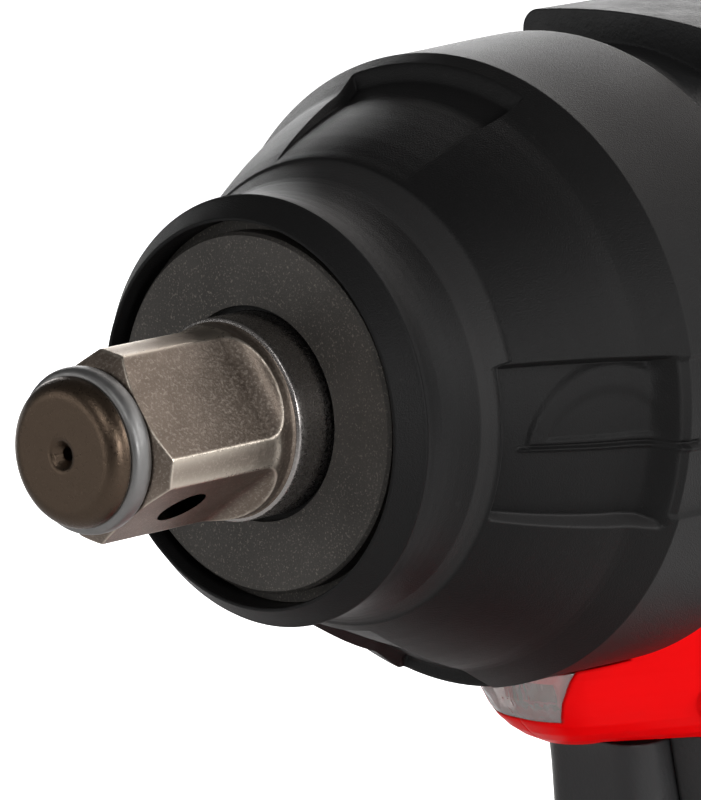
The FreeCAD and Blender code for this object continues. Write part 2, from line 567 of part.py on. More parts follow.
core_blank = tube("stator_blank", "stator_radius", "rotor_radius + 0.7", "stator_front",
                  "stator_front + stator_length")
slots = []
coils = []
ends = []
for number, angle in enumerate(ring_of(6)):
    slot = turned("stator_slot_%d" % number, [
        ("-stator_front + 1", "19.2"), ("-stator_front + 1", "27.8"),
        ("-stator_front - stator_length - 1", "27.8"), ("-stator_front - stator_length - 1", "19.2")],
        38.0, angle + 11.0)
    mouth = turned("stator_mouth_%d" % number, [
        ("-stator_front + 1", "15"), ("-stator_front + 1", "21"),
        ("-stator_front - stator_length - 1", "21"), ("-stator_front - stator_length - 1", "15")],
        6.0, angle + 27.0)
    slots += [slot, mouth]
    outer = turned("coil_out_%d" % number, [
        ("-stator_front + 5.5", "19.8"), ("-stator_front + 5.5", "27.2"),
        ("-stator_front - stator_length - 5.5", "27.2"), ("-stator_front - stator_length - 5.5", "19.8")],
        50.0, angle - 25.0)
    inner = turned("coil_in_%d" % number, [
        ("-stator_front + 1.2", "19"), ("-stator_front + 1.2", "28"),
        ("-stator_front - stator_length - 1.2", "28"), ("-stator_front - stator_length - 1.2", "19")],
        24.0, angle - 12.0)
    coils.append(cut("coil_%d" % number, outer, [inner]))
finish(cut("stator_slotted", core_blank, slots), "stator_core")
finish(group("coil_set", coils), "stator_windings")
insulators = []
for name, near, far in (("front", "stator_front - 1.1", "stator_front"),
                        ("rear", "stator_front + stator_length", "stator_front + stator_length + 1.1")):
    disc = tube("insulator_" + name, "31", "28.4", near, far)
    spokes = [turned("spoke_%s_%d" % (name, n), [
        ("-(%s)" % near, "rotor_radius + 0.7"), ("-(%s)" % near, "29"), ("-(%s)" % far, "29"),
        ("-(%s)" % far, "rotor_radius + 0.7")], 23.0, a - 11.5) for n, a in enumerate(ring_of(6))]
    insulators.append(fuse("insulator_ring_" + name, [disc] + spokes))
finish(group("insulator_set", insulators), "stator_insulators")
finish(tube("motor_board_body", "31", "12", "stator_front + stator_length + 5.7",
            "stator_front + stator_length + 7.3"), "motor_board")

hub = tube("fan_hub", "7.5", "motor_shaft_radius", "stator_front + stator_length", "fan_front + 8")
web = tube("fan_web", "fan_radius", "7.5", "fan_front", "fan_front + 1.2")
blades = []
for number, angle in enumerate(ring_of(11)):
    blade = block("blade_%d" % number, "-fan_front - 7.5", "-fan_front - 1", "9.5", "fan_radius", "-0.6", "0.6")
    turn = math.radians(angle)
    blade.Placement = FreeCAD.Placement(FreeCAD.Vector(), FreeCAD.Rotation(FreeCAD.Vector(1, 0, 0), angle))
    at(blade, "-fan_front - 7.5", "9.5 * %.9f + 0.6 * %.9f" % (math.cos(turn), math.sin(turn)),
       "9.5 * %.9f - 0.6 * %.9f" % (math.sin(turn), math.cos(turn)))
    blades.append(blade)
finish(fuse("fan_all", [hub, web] + blades), "fan")


# ---------------------------------------------------------------- housing
def rounded_wire(x0, x1, half_width, corner, height):
    """A rounded rectangle in a level plane."""
    y0, y1, v = -half_width, half_width, FreeCAD.Vector
    c = min(corner, half_width - 0.01, (x1 - x0) / 2 - 0.01)
    k = c * (1 - math.sqrt(0.5))
    edges = []
    for (ax, ay), (bx, by), (cx, cy), (mx, my), (dx, dy) in (
            ((x0 + c, y0), (x1 - c, y0), (x1, y0 + c), (x1 - k, y0 + k), (0, 0)),
            ((x1, y0 + c), (x1, y1 - c), (x1 - c, y1), (x1 - k, y1 - k), (0, 0)),
            ((x1 - c, y1), (x0 + c, y1), (x0, y1 - c), (x0 + k, y1 - k), (0, 0)),
            ((x0, y1 - c), (x0, y0 + c), (x0 + c, y0), (x0 + k, y0 + k), (0, 0))):
        edges.append(Part.makeLine(v(ax, ay, height), v(bx, by, height)))
        edges.append(Part.Arc(v(bx, by, height), v(mx, my, height), v(cx, cy, height)).toShape())
    return Part.Wire(edges)


def slab(x0, x1, half_width, corner, z0, z1):
    """An upright block with rounded vertical corners."""
    face = Part.Face(rounded_wire(x0, x1, half_width, corner, z0))
    return face.extrude(FreeCAD.Vector(0, 0, z1 - z0))


axis, nose = val("axis_height"), val("nose_front")
GRIP = [(200.0, 17.5, -38.0, 17.6, 12.0), (val("grip_top"), 14.0, -34.0, 17.5, 12.0),
        (166.0, 10.0, -32.5, 17.0, 13.0), (140.0, 5.5, -34.5, 16.5, 14.0), (115.0, 4.0, -37.0, 17.0, 14.0),
        (val("grip_bottom"), 7.0, -41.0, 19.5, 14.0), (val("foot_top") - 4, 12.0, -44.0, 22.0, 14.0)]


def grip_loft(inset):
    wires = [rounded_wire(back + inset, front_x - inset, half - inset, corner - inset * 0.6, height)
             for height, front_x, back, half, corner in GRIP]
    return Part.makeLoft(wires, True, False)


def band(z0, z1):
    return Part.makeBox(300, 300, z1 - z0, FreeCAD.Vector(-150, -150, z0))


# the chin's section at each depth below the axis: how far its nose and its sides stand in
CHIN = [(20.0, 0.0, 0.0), (41.0, 0.0, 0.0), (44.0, 0.8, 0.3), (46.0, 1.9, 0.7), (47.6, 3.1, 1.2),
        (49.0, 4.6, 1.9), (50.2, 6.4, 2.8), (val("chin_bottom"), 8.6, 4.2)]


def chin(inset):
    """The lamp chin under the barrel: a blunt nose that rounds under and widens to the rear."""
    wires = [chin_wire(inset, lean, tuck, axis - depth) for depth, lean, tuck in CHIN]
    solids = [Part.makeLoft([low, high], True, True) for low, high in zip(wires[:-1], wires[1:])]
    return solids[0].fuse(solids[1:]).removeSplitter()


def chin_wire(inset, lean, tuck, height, x_back=-30.0):
    v = FreeCAD.Vector
    half, tip = val("chin_half_width") - inset - tuck, nose - val("chin_front") - inset - lean
    wide = 17.6 - inset - tuck
    left = Part.Arc(v(tip, 0, height), v(tip - 1.1, half * 0.62, height), v(tip - 4.6, half, height)).toShape()
    right = Part.Arc(v(tip - 4.6, -half, height), v(tip - 1.1, -half * 0.62, height),
                     v(tip, 0, height)).toShape()
    pts = [v(tip - 4.6, half, height), v(10, wide, height), v(x_back, wide, height),
           v(x_back, -wide, height), v(10, -wide, height), v(tip - 4.6, -half, height)]
    return Part.Wire([left] + [Part.makeLine(pts[i], pts[i + 1]) for i in range(5)] + [right])


def along_x(radius, x0, x1):
    return Part.makeCylinder(radius, x1 - x0, FreeCAD.Vector(x0, 0, axis), FreeCAD.Vector(1, 0, 0))


barrel_x0, barrel_x1 = nose - val("housing_rear"), nose - val("housing_front")
skin = val("rubber_skin")
barrel = along_x(val("barrel_radius"), barrel_x0, nose - val("bumper_front"))
barrel_front = along_x(val("barrel_radius") - val("sleeve_depth"), nose - val("bumper_front"), barrel_x1)
chin_solid = chin(0).cut(along_x(val("boot_rear_radius") + 0.3, barrel_x1, nose))
grip_core = grip_loft(skin).common(band(val("grip_bottom"), val("grip_top")))
grip_root = grip_loft(0).common(band(val("foot_top") - 4, val("grip_bottom")))
grip_head = grip_loft(0).common(band(val("grip_top"), axis - 37))
foot = slab(-val("foot_back"), val("foot_front"), val("foot_half_width"), 12, val("foot_bottom"), val("foot_top"))
foot = foot.makeFillet(5, [e for e in foot.Edges if abs(e.BoundBox.ZMin - val("foot_top")) < 0.01])
outside = barrel.fuse([barrel_front, chin_solid, grip_core, grip_root, grip_head, foot]).removeSplitter()

wall = val("housing_wall")
bore = val("gear_case_radius") + 0.1
hollow = along_x(bore, barrel_x0 - 1, nose - 57)
for rib in (112.0, 139.0):
    hollow = hollow.cut(along_x(bore + 1, nose - rib - 2, nose - rib).cut(
        along_x(val("stator_radius") + 0.02, nose - rib - 3, nose - rib + 1)))
grip_room = grip_loft(skin + wall).common(band(val("grip_bottom") + 1, axis - 30))
module_room = slab(-val("foot_back") + wall, val("foot_front") - wall, val("foot_half_width") - wall, 9,
                   val("rail_top") + 3, val("foot_top") - wall)
neck_room = slab(-34, 2, 12, 4, val("foot_top") - 8, val("grip_bottom") + 3)
rc = val("rail_clearance")
slide_x0, slide_x1 = -43.0, val("foot_front") + 2
rail_room = [Part.makeBox(slide_x1 - slide_x0, 2 * (val(w) + rc), z1 - z0, FreeCAD.Vector(
    slide_x0, -(val(w) + rc), z0)) for w, z0, z1 in (
        ("rail_neck", val("foot_bottom") - 1, val("rail_step")),
        ("rail_half_width", val("rail_step") - rc, val("rail_top") + rc))]
block_room = Part.makeBox(6.2, 36, val("rail_top") + 4 - val("foot_bottom") + 1,
                          FreeCAD.Vector(-49.2, -18, val("foot_bottom") - 1))
trigger_low = val("trigger_low")
trigger_room = Part.makeBox(val("trigger_front") + 1.5, 2 * (val("trigger_half_width") + 0.3), val("grip_top") - trigger_low + 0.1,
                            FreeCAD.Vector(-1, -val("trigger_half_width") - 0.3, trigger_low - 0.3))
lever_room = Part.makeBox(8.6, 60, 6.6, FreeCAD.Vector(-3.3, -30, 186.7))
lamp_z1 = axis - 41.1
lamp_z0 = lamp_z1 - val("lens_height")


def lens_window(gap):
    """The lens opening seen from the front, wider at the top, run back through the chin's nose."""
    v = FreeCAD.Vector
    x0, z0, z1 = nose - val("chin_front") - 9 + gap, lamp_z0 + gap, lamp_z1 + 3
    corners = [v(x0, -5.7 + gap, z0), v(x0, 5.7 - gap, z0), v(x0, 9.0 - gap, z1), v(x0, -9.0 + gap, z1)]
    return Part.Face(Part.makePolygon(corners + corners[:1])).extrude(v(12, 0, 0))


lamp_room = chin(-1.0).cut(chin(val("lens_wall"))).common(lens_window(0.0))
board_room = chin(val("lens_wall")).common(Part.makeBox(40, 9.6, 5.0, FreeCAD.Vector(-1, -4.8, lamp_z0 + 0.4)))
latch_room = []
for side in (1, -1):
    y0 = 27.3 if side > 0 else -33.7
    room = Part.makeBox(20, 6.4, 4.5, FreeCAD.Vector(13.4, y0, val("foot_bottom") - 1))
    strike = Part.makeBox(2.2, 2.6, 4, FreeCAD.Vector(20.7, 31.2 if side > 0 else -33.8, val("foot_bottom")))
    latch_room.append(room.cut(strike))
vents = []
for side in (1, -1):
    for i in range(6):
        height = axis - 15 + 6 * i
        vents.append(Part.makeBox(11, 20, 2.6, FreeCAD.Vector(nose - 159, 24 if side > 0 else -44, height - 1.3)))
panel_room = Part.makeBox(13, 30, 3.2, FreeCAD.Vector(13.4, -15, val("foot_top") - 1.6)).fuse(
    Part.makeCylinder(3.3, 8, FreeCAD.Vector(19.9, -8, val("foot_top") - 5), FreeCAD.Vector(0, 0, 1)))
HOOK_SPOTS = [(-16.0, 0.0), (4.0, 0.7)]
hook_room = [Part.makeCylinder(3.0, 8 + deeper, FreeCAD.Vector(x, side * (val("foot_half_width") + 1), 81.5),
                               FreeCAD.Vector(0, -side, 0)) for side in (1, -1) for x, deeper in HOOK_SPOTS]
inside = [hollow, grip_room, module_room, neck_room, block_room, trigger_room, lever_room, lamp_room,
          board_room, panel_room] + rail_room + latch_room + vents
shell = outside.cut(inside)
bosses = [Part.makeCylinder(3.1, 12, FreeCAD.Vector(barrel_x0, 31.4 * math.cos(math.radians(a)),
                                                   axis + 31.4 * math.sin(math.radians(a))),
                            FreeCAD.Vector(1, 0, 0)) for a in (45, 135, 225, 315)]
HOUSING_SCREWS = [(-23.0, 190.0), (12.0, 189.8), (-18.0, 122.0), (-45.6, 83.0), (23.6, 83.0)]
foot_reach = val("foot_half_width") - 2.6
REACH = [16.8, 15.9, 14.6, foot_reach, foot_reach]
posts = [Part.makeCylinder(3.2, 2 * reach - 1, FreeCAD.Vector(x, -reach + 0.5, z), FreeCAD.Vector(0, 1, 0))
         for (x, z), reach in zip(HOUSING_SCREWS, REACH)]
hook_pads = [Part.makeCylinder(5.0, 7.6 + deeper, FreeCAD.Vector(x, side * (val("foot_half_width") - 0.4), 81.5),
                               FreeCAD.Vector(0, -side, 0)).common(band(77, 87)) for side in (1, -1)
             for x, deeper in HOOK_SPOTS]
shell = shell.fuse(bosses + posts + hook_pads)
screw_room = [Part.makeCylinder(1.5, 12, FreeCAD.Vector(barrel_x0 - 0.5, 31.4 * math.cos(math.radians(a)),
                                                       axis + 31.4 * math.sin(math.radians(a))),
                                FreeCAD.Vector(1, 0, 0)) for a in (45, 135, 225, 315)]
for (x, z), reach in zip(HOUSING_SCREWS, REACH):
    screw_room.append(Part.makeCylinder(1.5, reach + 9, FreeCAD.Vector(x, -reach, z), FreeCAD.Vector(0, 1, 0)))
    screw_room.append(Part.makeCylinder(3.0, 8, FreeCAD.Vector(x, -reach - 4, z), FreeCAD.Vector(0, 1, 0)))
grip_screw_room = Part.makeCylinder(3.2, 8, FreeCAD.Vector(-18, -19, 122), FreeCAD.Vector(0, 1, 0))
shell = shell.cut(screw_room + hook_room)
for side, name in ((0, "left"), (-200, "right")):
    half = shell.common(Part.makeBox(500, 200, 500, FreeCAD.Vector(-250, side, -10)))
    half = max(half.Solids, key=lambda s: s.Volume) if half.Solids else half
    finish(solid("housing_half_" + name, half), "housing_" + name, on_axis=False)

housing_screws = []
for (x, z), reach in zip(HOUSING_SCREWS, REACH):
    head = Part.makeCylinder(2.8, 2.4, FreeCAD.Vector(x, -reach + 1.6, z), FreeCAD.Vector(0, 1, 0))
    shank = Part.makeCylinder(1.5, reach + 5, FreeCAD.Vector(x, -reach + 2, z), FreeCAD.Vector(0, 1, 0))
    housing_screws.append(head.fuse(shank).cut(Part.makeCylinder(1.2, 1.2, FreeCAD.Vector(x, -reach + 1.5, z),
                                                                 FreeCAD.Vector(0, 1, 0))))
finish(solid("hook_insert_set", Part.Compound([
    Part.makeCylinder(3.0, 6, FreeCAD.Vector(x, side * (val("foot_half_width") - 0.2), 81.5),
                      FreeCAD.Vector(0, -side, 0)).cut(
        Part.makeCylinder(1.65, 5.5, FreeCAD.Vector(x, side * (val("foot_half_width") - 0.1), 81.5),
                          FreeCAD.Vector(0, -side, 0)))
    for side in (1, -1) for x in (-16.0, 4.0)])), "hook_inserts", on_axis=False)

# black rubber: the grip in two halves, the front sleeve and the bumper along the top
grip_skin = grip_loft(0).common(band(val("grip_bottom"), val("grip_top"))).cut(
    [grip_loft(skin).common(band(val("grip_bottom") - 1, val("grip_top") + 1)), trigger_room, grip_screw_room])
for side, name in ((0, "left"), (-200, "right")):
    half = grip_skin.common(Part.makeBox(500, 200, 500, FreeCAD.Vector(-250, side, -10)))
    half = max(half.Solids, key=lambda s: s.Volume)
    finish(solid("grip_half_" + name, half), "grip_rubber_" + name, on_axis=False)
sleeve = along_x(val("barrel_radius") + 0.2, nose - val("bumper_front"), barrel_x1).cut(
    [along_x(val("barrel_radius") - val("sleeve_depth") + 0.03, nose - 70, nose - 50),
     Part.makeBox(60, 35.6, 60, FreeCAD.Vector(0, -17.8, axis - 60))])
top, half_w = axis + val("bumper_top"), val("bumper_half_width")
v = FreeCAD.Vector
x_front, x_rear = nose - val("bumper_front"), nose - 150
profile = Part.Wire([
    Part.makeLine(v(x_front, -half_w, axis + 25), v(x_front, -half_w, top - 3.6)),
    Part.Arc(v(x_front, -half_w, top - 3.6), v(x_front, -half_w + 0.9, top - 1.6),
             v(x_front, -half_w + 2.8, top - 0.9)).toShape(),
    Part.Arc(v(x_front, -half_w + 2.8, top - 0.9), v(x_front, 0, top), v(x_front, half_w - 2.8, top - 0.9)).toShape(),
    Part.Arc(v(x_front, half_w - 2.8, top - 0.9), v(x_front, half_w - 0.9, top - 1.6),
             v(x_front, half_w, top - 3.6)).toShape(),
    Part.makeLine(v(x_front, half_w, top - 3.6), v(x_front, half_w, axis + 25)),
    Part.makeLine(v(x_front, half_w, axis + 25), v(x_front, -half_w, axis + 25))])
bumper = Part.Face(profile).extrude(v(x_rear - x_front, 0, 0)).cut(along_x(val("barrel_radius") + 0.03, -120, 60))
finish(solid("bumper_shape", Part.Compound([sleeve, bumper])), "barrel_rubber", on_axis=False)

# rear cover with its bearing seat, intake slots and screws
cover_blank = turned("rear_cover_turned", [
    ("-housing_rear", "34.2"), ("-housing_rear", "barrel_radius"), ("-housing_rear - 9", "barrel_radius - 0.3"),
    ("-housing_rear - 16", "barrel_radius - 2.6"), ("-housing_rear - 20.5", "barrel_radius - 6.2"),
    ("-tool_rear", "barrel_radius - 12"), ("-tool_rear", "0"), ("-170.1", "0"), ("-170.1", "9.5"),
    ("-164", "9.5"), ("-164", "12.5"), ("-tool_rear + 3", "12.5"), ("-tool_rear + 3", "barrel_radius - 13.5"),
    ("-housing_rear - 18.5", "barrel_radius - 9"), ("-housing_rear - 14", "barrel_radius - 5.4"),
    ("-housing_rear - 6", "34.2")])
cover_bosses, cover_tools = [], []
for number, angle in enumerate((45, 135, 225, 315)):
    y, z = polar("31.4", angle)
    cover_bosses.append(rod("cover_boss_%d" % number, "3.6", "13", "-housing_rear - 13", y, z))
    cover_tools.append(rod("cover_hole_%d" % number, "1.6", "26", "-tool_rear - 1", y, z))
    cover_tools.append(rod("cover_seat_%d" % number, "2.9", "14", "-tool_rear - 1", y, z))
for number in range(7):
    height = "%.3f" % (-18 + 6 * number)
    if abs(-18 + 6 * number) > 1:
        cover_tools.append(block("intake_%d" % number, "-tool_rear - 1", "-tool_rear + 4.5", "-22", "-13.2",
                                 height + " - 1.2", height + " + 1.2"))
        cover_tools.append(block("intake_b_%d" % number, "-tool_rear - 1", "-tool_rear + 4.5", "13.2", "22",
                                 height + " - 1.2", height + " + 1.2"))
shaft_room = rod("shaft_room", "5", "3", "-172.5")
finish(cut("rear_cover_cut", fuse("rear_cover_blank", [cover_blank] + cover_bosses), cover_tools + [shaft_room]),
       "rear_cover")
cover_screws = []
for number, angle in enumerate((45, 135, 225, 315)):
    y, z = polar("31.4", angle)
    cover_screws.append(fuse("cover_screw_%d" % number, [
        rod("cover_head_%d" % number, "2.8", "2.4", "-172.4", y, z),
        rod("cover_shank_%d" % number, "1.5", "20", "-170.2", y, z)]))
cover_screw_set = group("cover_screw_set", cover_screws)
at(cover_screw_set, "nose_front", "0", "axis_height")
finish(group("housing_screw_group", [cover_screw_set, solid("housing_screw_set", Part.Compound(housing_screws))]),
       "housing_screws", on_axis=False)

# lamp in the chin
lens = chin(0.05).cut([chin(val("lens_wall") - 0.05), along_x(val("boot_rear_radius") + 0.4, 0, nose)]).common(
    lens_window(0.05))
finish(solid("lens_shape", max(lens.Solids, key=lambda s: s.Volume)), "lamp_lens", on_axis=False)
lamp_board = Part.makeBox(1.4, 9.6, 5.0, FreeCAD.Vector(24.8, -4.8, lamp_z0 + 0.4))
leds = [Part.makeBox(1.0, 2.0, 2.6, FreeCAD.Vector(26.2, y - 1.0, lamp_z0 + 1.6)) for y in (-3, 0, 3)]
finish(solid("lamp_board_shape", lamp_board.fuse(leds).removeSplitter()), "lamp_board", on_axis=False)

# trigger, switch, direction lever, control module, terminal block, panel
tw = val("trigger_half_width")
tz1 = val("grip_top") - 0.6
face_x = val("trigger_front")
TRIGGER_FACE = [(trigger_low, 7.0), (trigger_low + 2.5, 4.4), (trigger_low + 8, 2.9), (trigger_low + 16, 2.1),
                (trigger_low + 24, 1.2), (tz1, 0.0)]
trigger = Part.makeLoft([rounded_wire(5.0, face_x - back, tw, 4.2, height) for height, back in TRIGGER_FACE],
                        True, False)
trigger = trigger.fuse(Part.makeCylinder(2.5, 13, v(-7, 0, 168), v(1, 0, 0))).removeSplitter()
finish(solid("trigger_shape", trigger), "trigger", on_axis=False)
switch = Part.makeBox(18, 21, 26, v(-22.5, -10.5, 156)).cut(Part.makeCylinder(2.6, 12, v(-15.0, 0, 168), v(1, 0, 0)))
ears = [Part.makeBox(5, 25.4, 4, v(-20, -12.7, z)) for z in (158, 174)]
finish(solid("switch_shape", switch.fuse(ears).cut(
    Part.makeCylinder(2.6, 12, v(-15.0, 0, 168), v(1, 0, 0)))), "trigger_switch", on_axis=False)
lever = Part.makeBox(8, 47, 6, v(-3, -23.5, 187)).cut(Part.makeBox(3, 10, 3, v(-1, -5, 186.9)))
lever = lever.makeFillet(1.6, [e for e in lever.Edges if e.BoundBox.YLength < 0.01 and (
    abs(e.BoundBox.YMin) > 23 and abs(e.BoundBox.ZLength - 6) < 0.01)])
finish(solid("lever_shape", lever), "direction_lever", on_axis=False)
control = Part.makeBox(52, 44, 7.6, v(-38, -22, val("rail_top") + 3)).cut(
    Part.makeBox(48.8, 40.8, 5, v(-36.4, -20.4, val("rail_top") + 8.6)))
caps = [Part.makeCylinder(3.4, 3.5, v(-31, y, val("rail_top") + 8.6 - 0.05), v(0, 0, 1)) for y in (-14, 14)]
finish(solid("module_shape", control.fuse(caps)), "control_module", on_axis=False)
BLADES = (-8.4, -2.8, 2.8, 8.4)
bt = val("blade_thickness")
terminal = Part.makeBox(5.4, 34, 11.6, v(-48.9, -17, val("foot_bottom") + 2.4))
blade_set = [Part.makeBox(17, bt, 5.6, v(-47, y - bt / 2, 67.1)) for y in BLADES]
finish(solid("terminal_shape", Part.Compound([terminal.cut(blade_set)] + blade_set)), "terminal_block",
       on_axis=False)
panel = Part.makeBox(12.8, 29.8, 1.8, v(13.5, -14.9, val("foot_top") - 1.6))
button_hole = Part.makeCylinder(3.2, 6, v(19.9, -8, val("foot_top") - 3), v(0, 0, 1))
finish(solid("panel_shape", panel.cut(button_hole)), "mode_panel", on_axis=False)
finish(solid("mode_button_shape", Part.makeCylinder(3.0, 3.4, v(19.9, -8, val("foot_top") - 2.8), v(0, 0, 1))),
       "mode_button", on_axis=False)

# ---------------------------------------------------------------- battery pack
L, W, H = val("pack_half_length"), val("pack_half_width"), val("pack_height")
split, pw = val("pack_split"), val("pack_wall")
lower = slab(-L, L, W, 7, 0, split)
lower = lower.makeFillet(3, [e for e in lower.Edges if e.BoundBox.ZMax < 0.01])
lower = lower.cut(slab(-L + pw, L - pw, W - pw, 3, pw, split + 1))
upper = slab(-L, L, W, 7, split, H)
upper = upper.makeFillet(3, [e for e in upper.Edges if e.BoundBox.ZMin > H - 0.01])
upper = upper.cut(slab(-L + pw, L - pw, W - pw, 3, split - 1, H - pw))
rail = Part.makeBox(60, 2 * val("rail_neck"), val("rail_step") - H + 2, v(-41, -val("rail_neck"), H - 1.5)).fuse(
    Part.makeBox(60, 2 * val("rail_half_width"), val("rail_top") - val("rail_step"),
                 v(-41, -val("rail_half_width"), val("rail_step"))))
rail = rail.makeFillet(1.0, [e for e in rail.Edges if e.BoundBox.ZMin > val("rail_top") - 0.01])
rail_hollow = Part.makeBox(56, 25, 12.5, v(-39.2, -12.5, H - 3.5))
SCREW_SPOTS = [(sx * (L - pw - 2.3), sy * 24.0) for sx in (-1, 1) for sy in (-1, 1)]
latch_cut = []
for s in (1, -1):
    latch_cut += [Part.makeBox(24.6, 6, 10.6, v(7.7, 32.5 if s > 0 else -38.5, 47.7)),
                  Part.makeBox(7, 6.4, 6, v(13.5, 27.3 if s > 0 else -33.7, H - 4))]
gauge_cut = Part.makeBox(6, 26, 8, v(L - 3.5, -13, 48))
upper = upper.fuse(rail).cut([rail_hollow, gauge_cut] + latch_cut +
                             [Part.makeBox(4, bt + 1.0, 6.8, v(-42, y - bt / 2 - 0.5, 66.8)) for y in BLADES])
towers = [Part.makeCylinder(2.4, H - pw - split, v(x, y, split), v(0, 0, 1)) for x, y in SCREW_SPOTS]
holes = [Part.makeCylinder(1.3, 60, v(x, y, -1), v(0, 0, 1)) for x, y in SCREW_SPOTS]
finish(solid("battery_upper", upper.fuse(towers).cut(
    [Part.makeCylinder(1.25, 12, v(x, y, 39.5), v(0, 0, 1)) for x, y in SCREW_SPOTS])), "battery_case_upper",
    on_axis=False)

cells = []
for row, z in enumerate((13.4, 34.8)):
    for column in range(5):
        name = "cell_%d_%d" % (row, column)
        cells.append(rod(name, "cell_radius", "cell_length", "cell_pitch * %d" % (column - 2), "-cell_length / 2",
                         "%.1f" % z, "Y"))
cell_group = group("cell_set", cells)
cell_group.Label = "battery_cells"
made.append(cell_group)
holder_blanks = [Part.makeBox(107.4, 5, 47.4, v(-53.7, y, pw)) for y in (19, -24)]
cell_rods = [Part.makeCylinder(val("cell_radius") + 0.06, 80, v(val("cell_pitch") * (c - 2), -40, z), v(0, 1, 0))
             for c in range(5) for z in (13.4, 34.8)]
finish(solid("holder_set", Part.Compound([b.cut(cell_rods) for b in holder_blanks])), "cell_holders",
       on_axis=False)
half = val("cell_length") / 2
pitch = val("cell_pitch")
straps = []
for s, groups in ((1, ((-2, -2), (-1, 0), (1, 2))), (-1, ((-2, -1), (0, 1), (2, 2)))):
    for first, last in groups:
        x0, x1 = first * pitch - 4, last * pitch + 4
        straps.append(Part.makeBox(x1 - x0, 0.4, 30, v(x0, half if s > 0 else -half - 0.4, 9)))
finish(solid("strap_set", Part.Compound(straps)), "cell_straps", on_axis=False)
board = Part.makeBox(86, 50, 1.6, v(-43, -25, pw + 47.4))
clips = []
for y in BLADES:
    for s in (1, -1):
        y0 = y + (bt / 2 + 0.02 if s > 0 else -bt / 2 - 0.02 - 0.6)
        clips.append(Part.makeBox(6, 0.6, 21.4, v(-37.5, y0, pw + 49)))
finish(solid("board_shape", Part.Compound([board] + clips)), "battery_board", on_axis=False)
post_set = [Part.makeCylinder(2.4, split - pw + 0.5, v(x, y, pw - 0.5), v(0, 0, 1)) for x, y in SCREW_SPOTS]
lower = lower.fuse(post_set).cut([Part.makeCylinder(2.3, 1.6, v(x, y, -0.1), v(0, 0, 1)) for x, y in SCREW_SPOTS] + holes)
finish(solid("battery_lower", lower), "battery_case_lower", on_axis=False)
for s, name in ((1, "left"), (-1, "right")):
    y0 = 34.8 if s > 0 else -38.4
    button = Part.makeBox(24, 3.6, 10, v(8, y0, 48))
    ribs = [Part.makeBox(1.4, 0.8, 8, v(11 + 3.6 * i, 38.3 if s > 0 else -39.1, 49)) for i in range(6)]
    flange = Part.makeBox(27, 1.6, 12.6, v(6.5, 33.3 if s > 0 else -34.9, 46.7))
    arm = Part.makeBox(6, 2.6, 16.8, v(14, 30.8 if s > 0 else -33.4, 50.5))
    finish(solid("latch_shape_" + name, button.fuse(ribs + [flange, arm]).removeSplitter()), "latch_" + name,
           on_axis=False)
window = Part.makeBox(2.4, 25.8, 7.8, v(L - 2.6, -12.9, 48.1)).cut(
    Part.makeCylinder(2.7, 8, v(L - 4, -9, 52), v(1, 0, 0)))
finish(solid("gauge_shape", window), "fuel_gauge_window", on_axis=False)
finish(solid("gauge_button_shape", Part.makeCylinder(2.5, 3.2, v(L - 2.6, -9, 52), v(1, 0, 0)).fuse(
    Part.makeCylinder(3.4, 0.8, v(L - 3.5, -9, 52), v(1, 0, 0)))), "fuel_gauge_button", on_axis=False)
finish(solid("battery_screw_set", Part.Compound([
    Part.makeCylinder(2.1, 1.2, v(x, y, 0.3), v(0, 0, 1)).fuse(Part.makeCylinder(1.25, 48, v(x, y, 1.4), v(0, 0, 1)))
    for x, y in SCREW_SPOTS])), "battery_screws", on_axis=False)

doc.recompute()
for thing in doc.Objects:
    state = [s for s in thing.State if s in ("Invalid", "Error")]
    if state:
        print("bad state:", thing.Name, state)
for thing in made:
    shape = thing.Shape
    if shape.isNull() or not shape.isValid() or not shape.Solids:
        print("bad shape:", thing.Label, shape.isNull(), shape.isValid(), len(shape.Solids))
    shape.exportStep("parts/%s.step" % thing.Label)
    box = shape.BoundBox
    print("%-28s solids %2d volume %10.1f  x %.1f..%.1f y %.1f..%.1f z %.1f..%.1f" % (
        thing.Label, len(shape.Solids), shape.Volume, box.XMin, box.XMax, box.YMin, box.YMax, box.ZMin, box.ZMax))
print(len(made), "nodes")
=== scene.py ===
import bpy
import bmesh
import json
import math
import numpy as np
from mathutils import Vector, Matrix


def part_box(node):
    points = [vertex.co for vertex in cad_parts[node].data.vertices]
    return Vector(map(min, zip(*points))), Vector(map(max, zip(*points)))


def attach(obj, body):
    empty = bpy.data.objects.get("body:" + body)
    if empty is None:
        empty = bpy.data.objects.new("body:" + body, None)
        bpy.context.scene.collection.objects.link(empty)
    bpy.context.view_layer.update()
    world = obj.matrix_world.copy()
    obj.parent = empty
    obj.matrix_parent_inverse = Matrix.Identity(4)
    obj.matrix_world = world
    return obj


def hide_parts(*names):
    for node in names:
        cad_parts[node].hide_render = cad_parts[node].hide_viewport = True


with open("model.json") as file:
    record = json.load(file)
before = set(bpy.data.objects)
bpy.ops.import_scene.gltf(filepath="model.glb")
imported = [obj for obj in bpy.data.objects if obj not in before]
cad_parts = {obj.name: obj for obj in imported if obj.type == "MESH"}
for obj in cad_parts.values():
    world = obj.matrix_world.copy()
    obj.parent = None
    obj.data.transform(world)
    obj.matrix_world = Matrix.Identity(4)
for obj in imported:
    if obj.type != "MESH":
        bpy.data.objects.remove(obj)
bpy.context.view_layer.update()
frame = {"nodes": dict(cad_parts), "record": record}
nodes = frame["nodes"]

# The drive axis and the nose face, read from the frame (millimetres).
anvil_low, anvil_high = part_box("anvil")
case_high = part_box("hammer_case")[1]
AXIS = (anvil_low[2] + anvil_high[2]) * 500.0
NOSE = case_high[0] * 1000.0
MM = 0.001

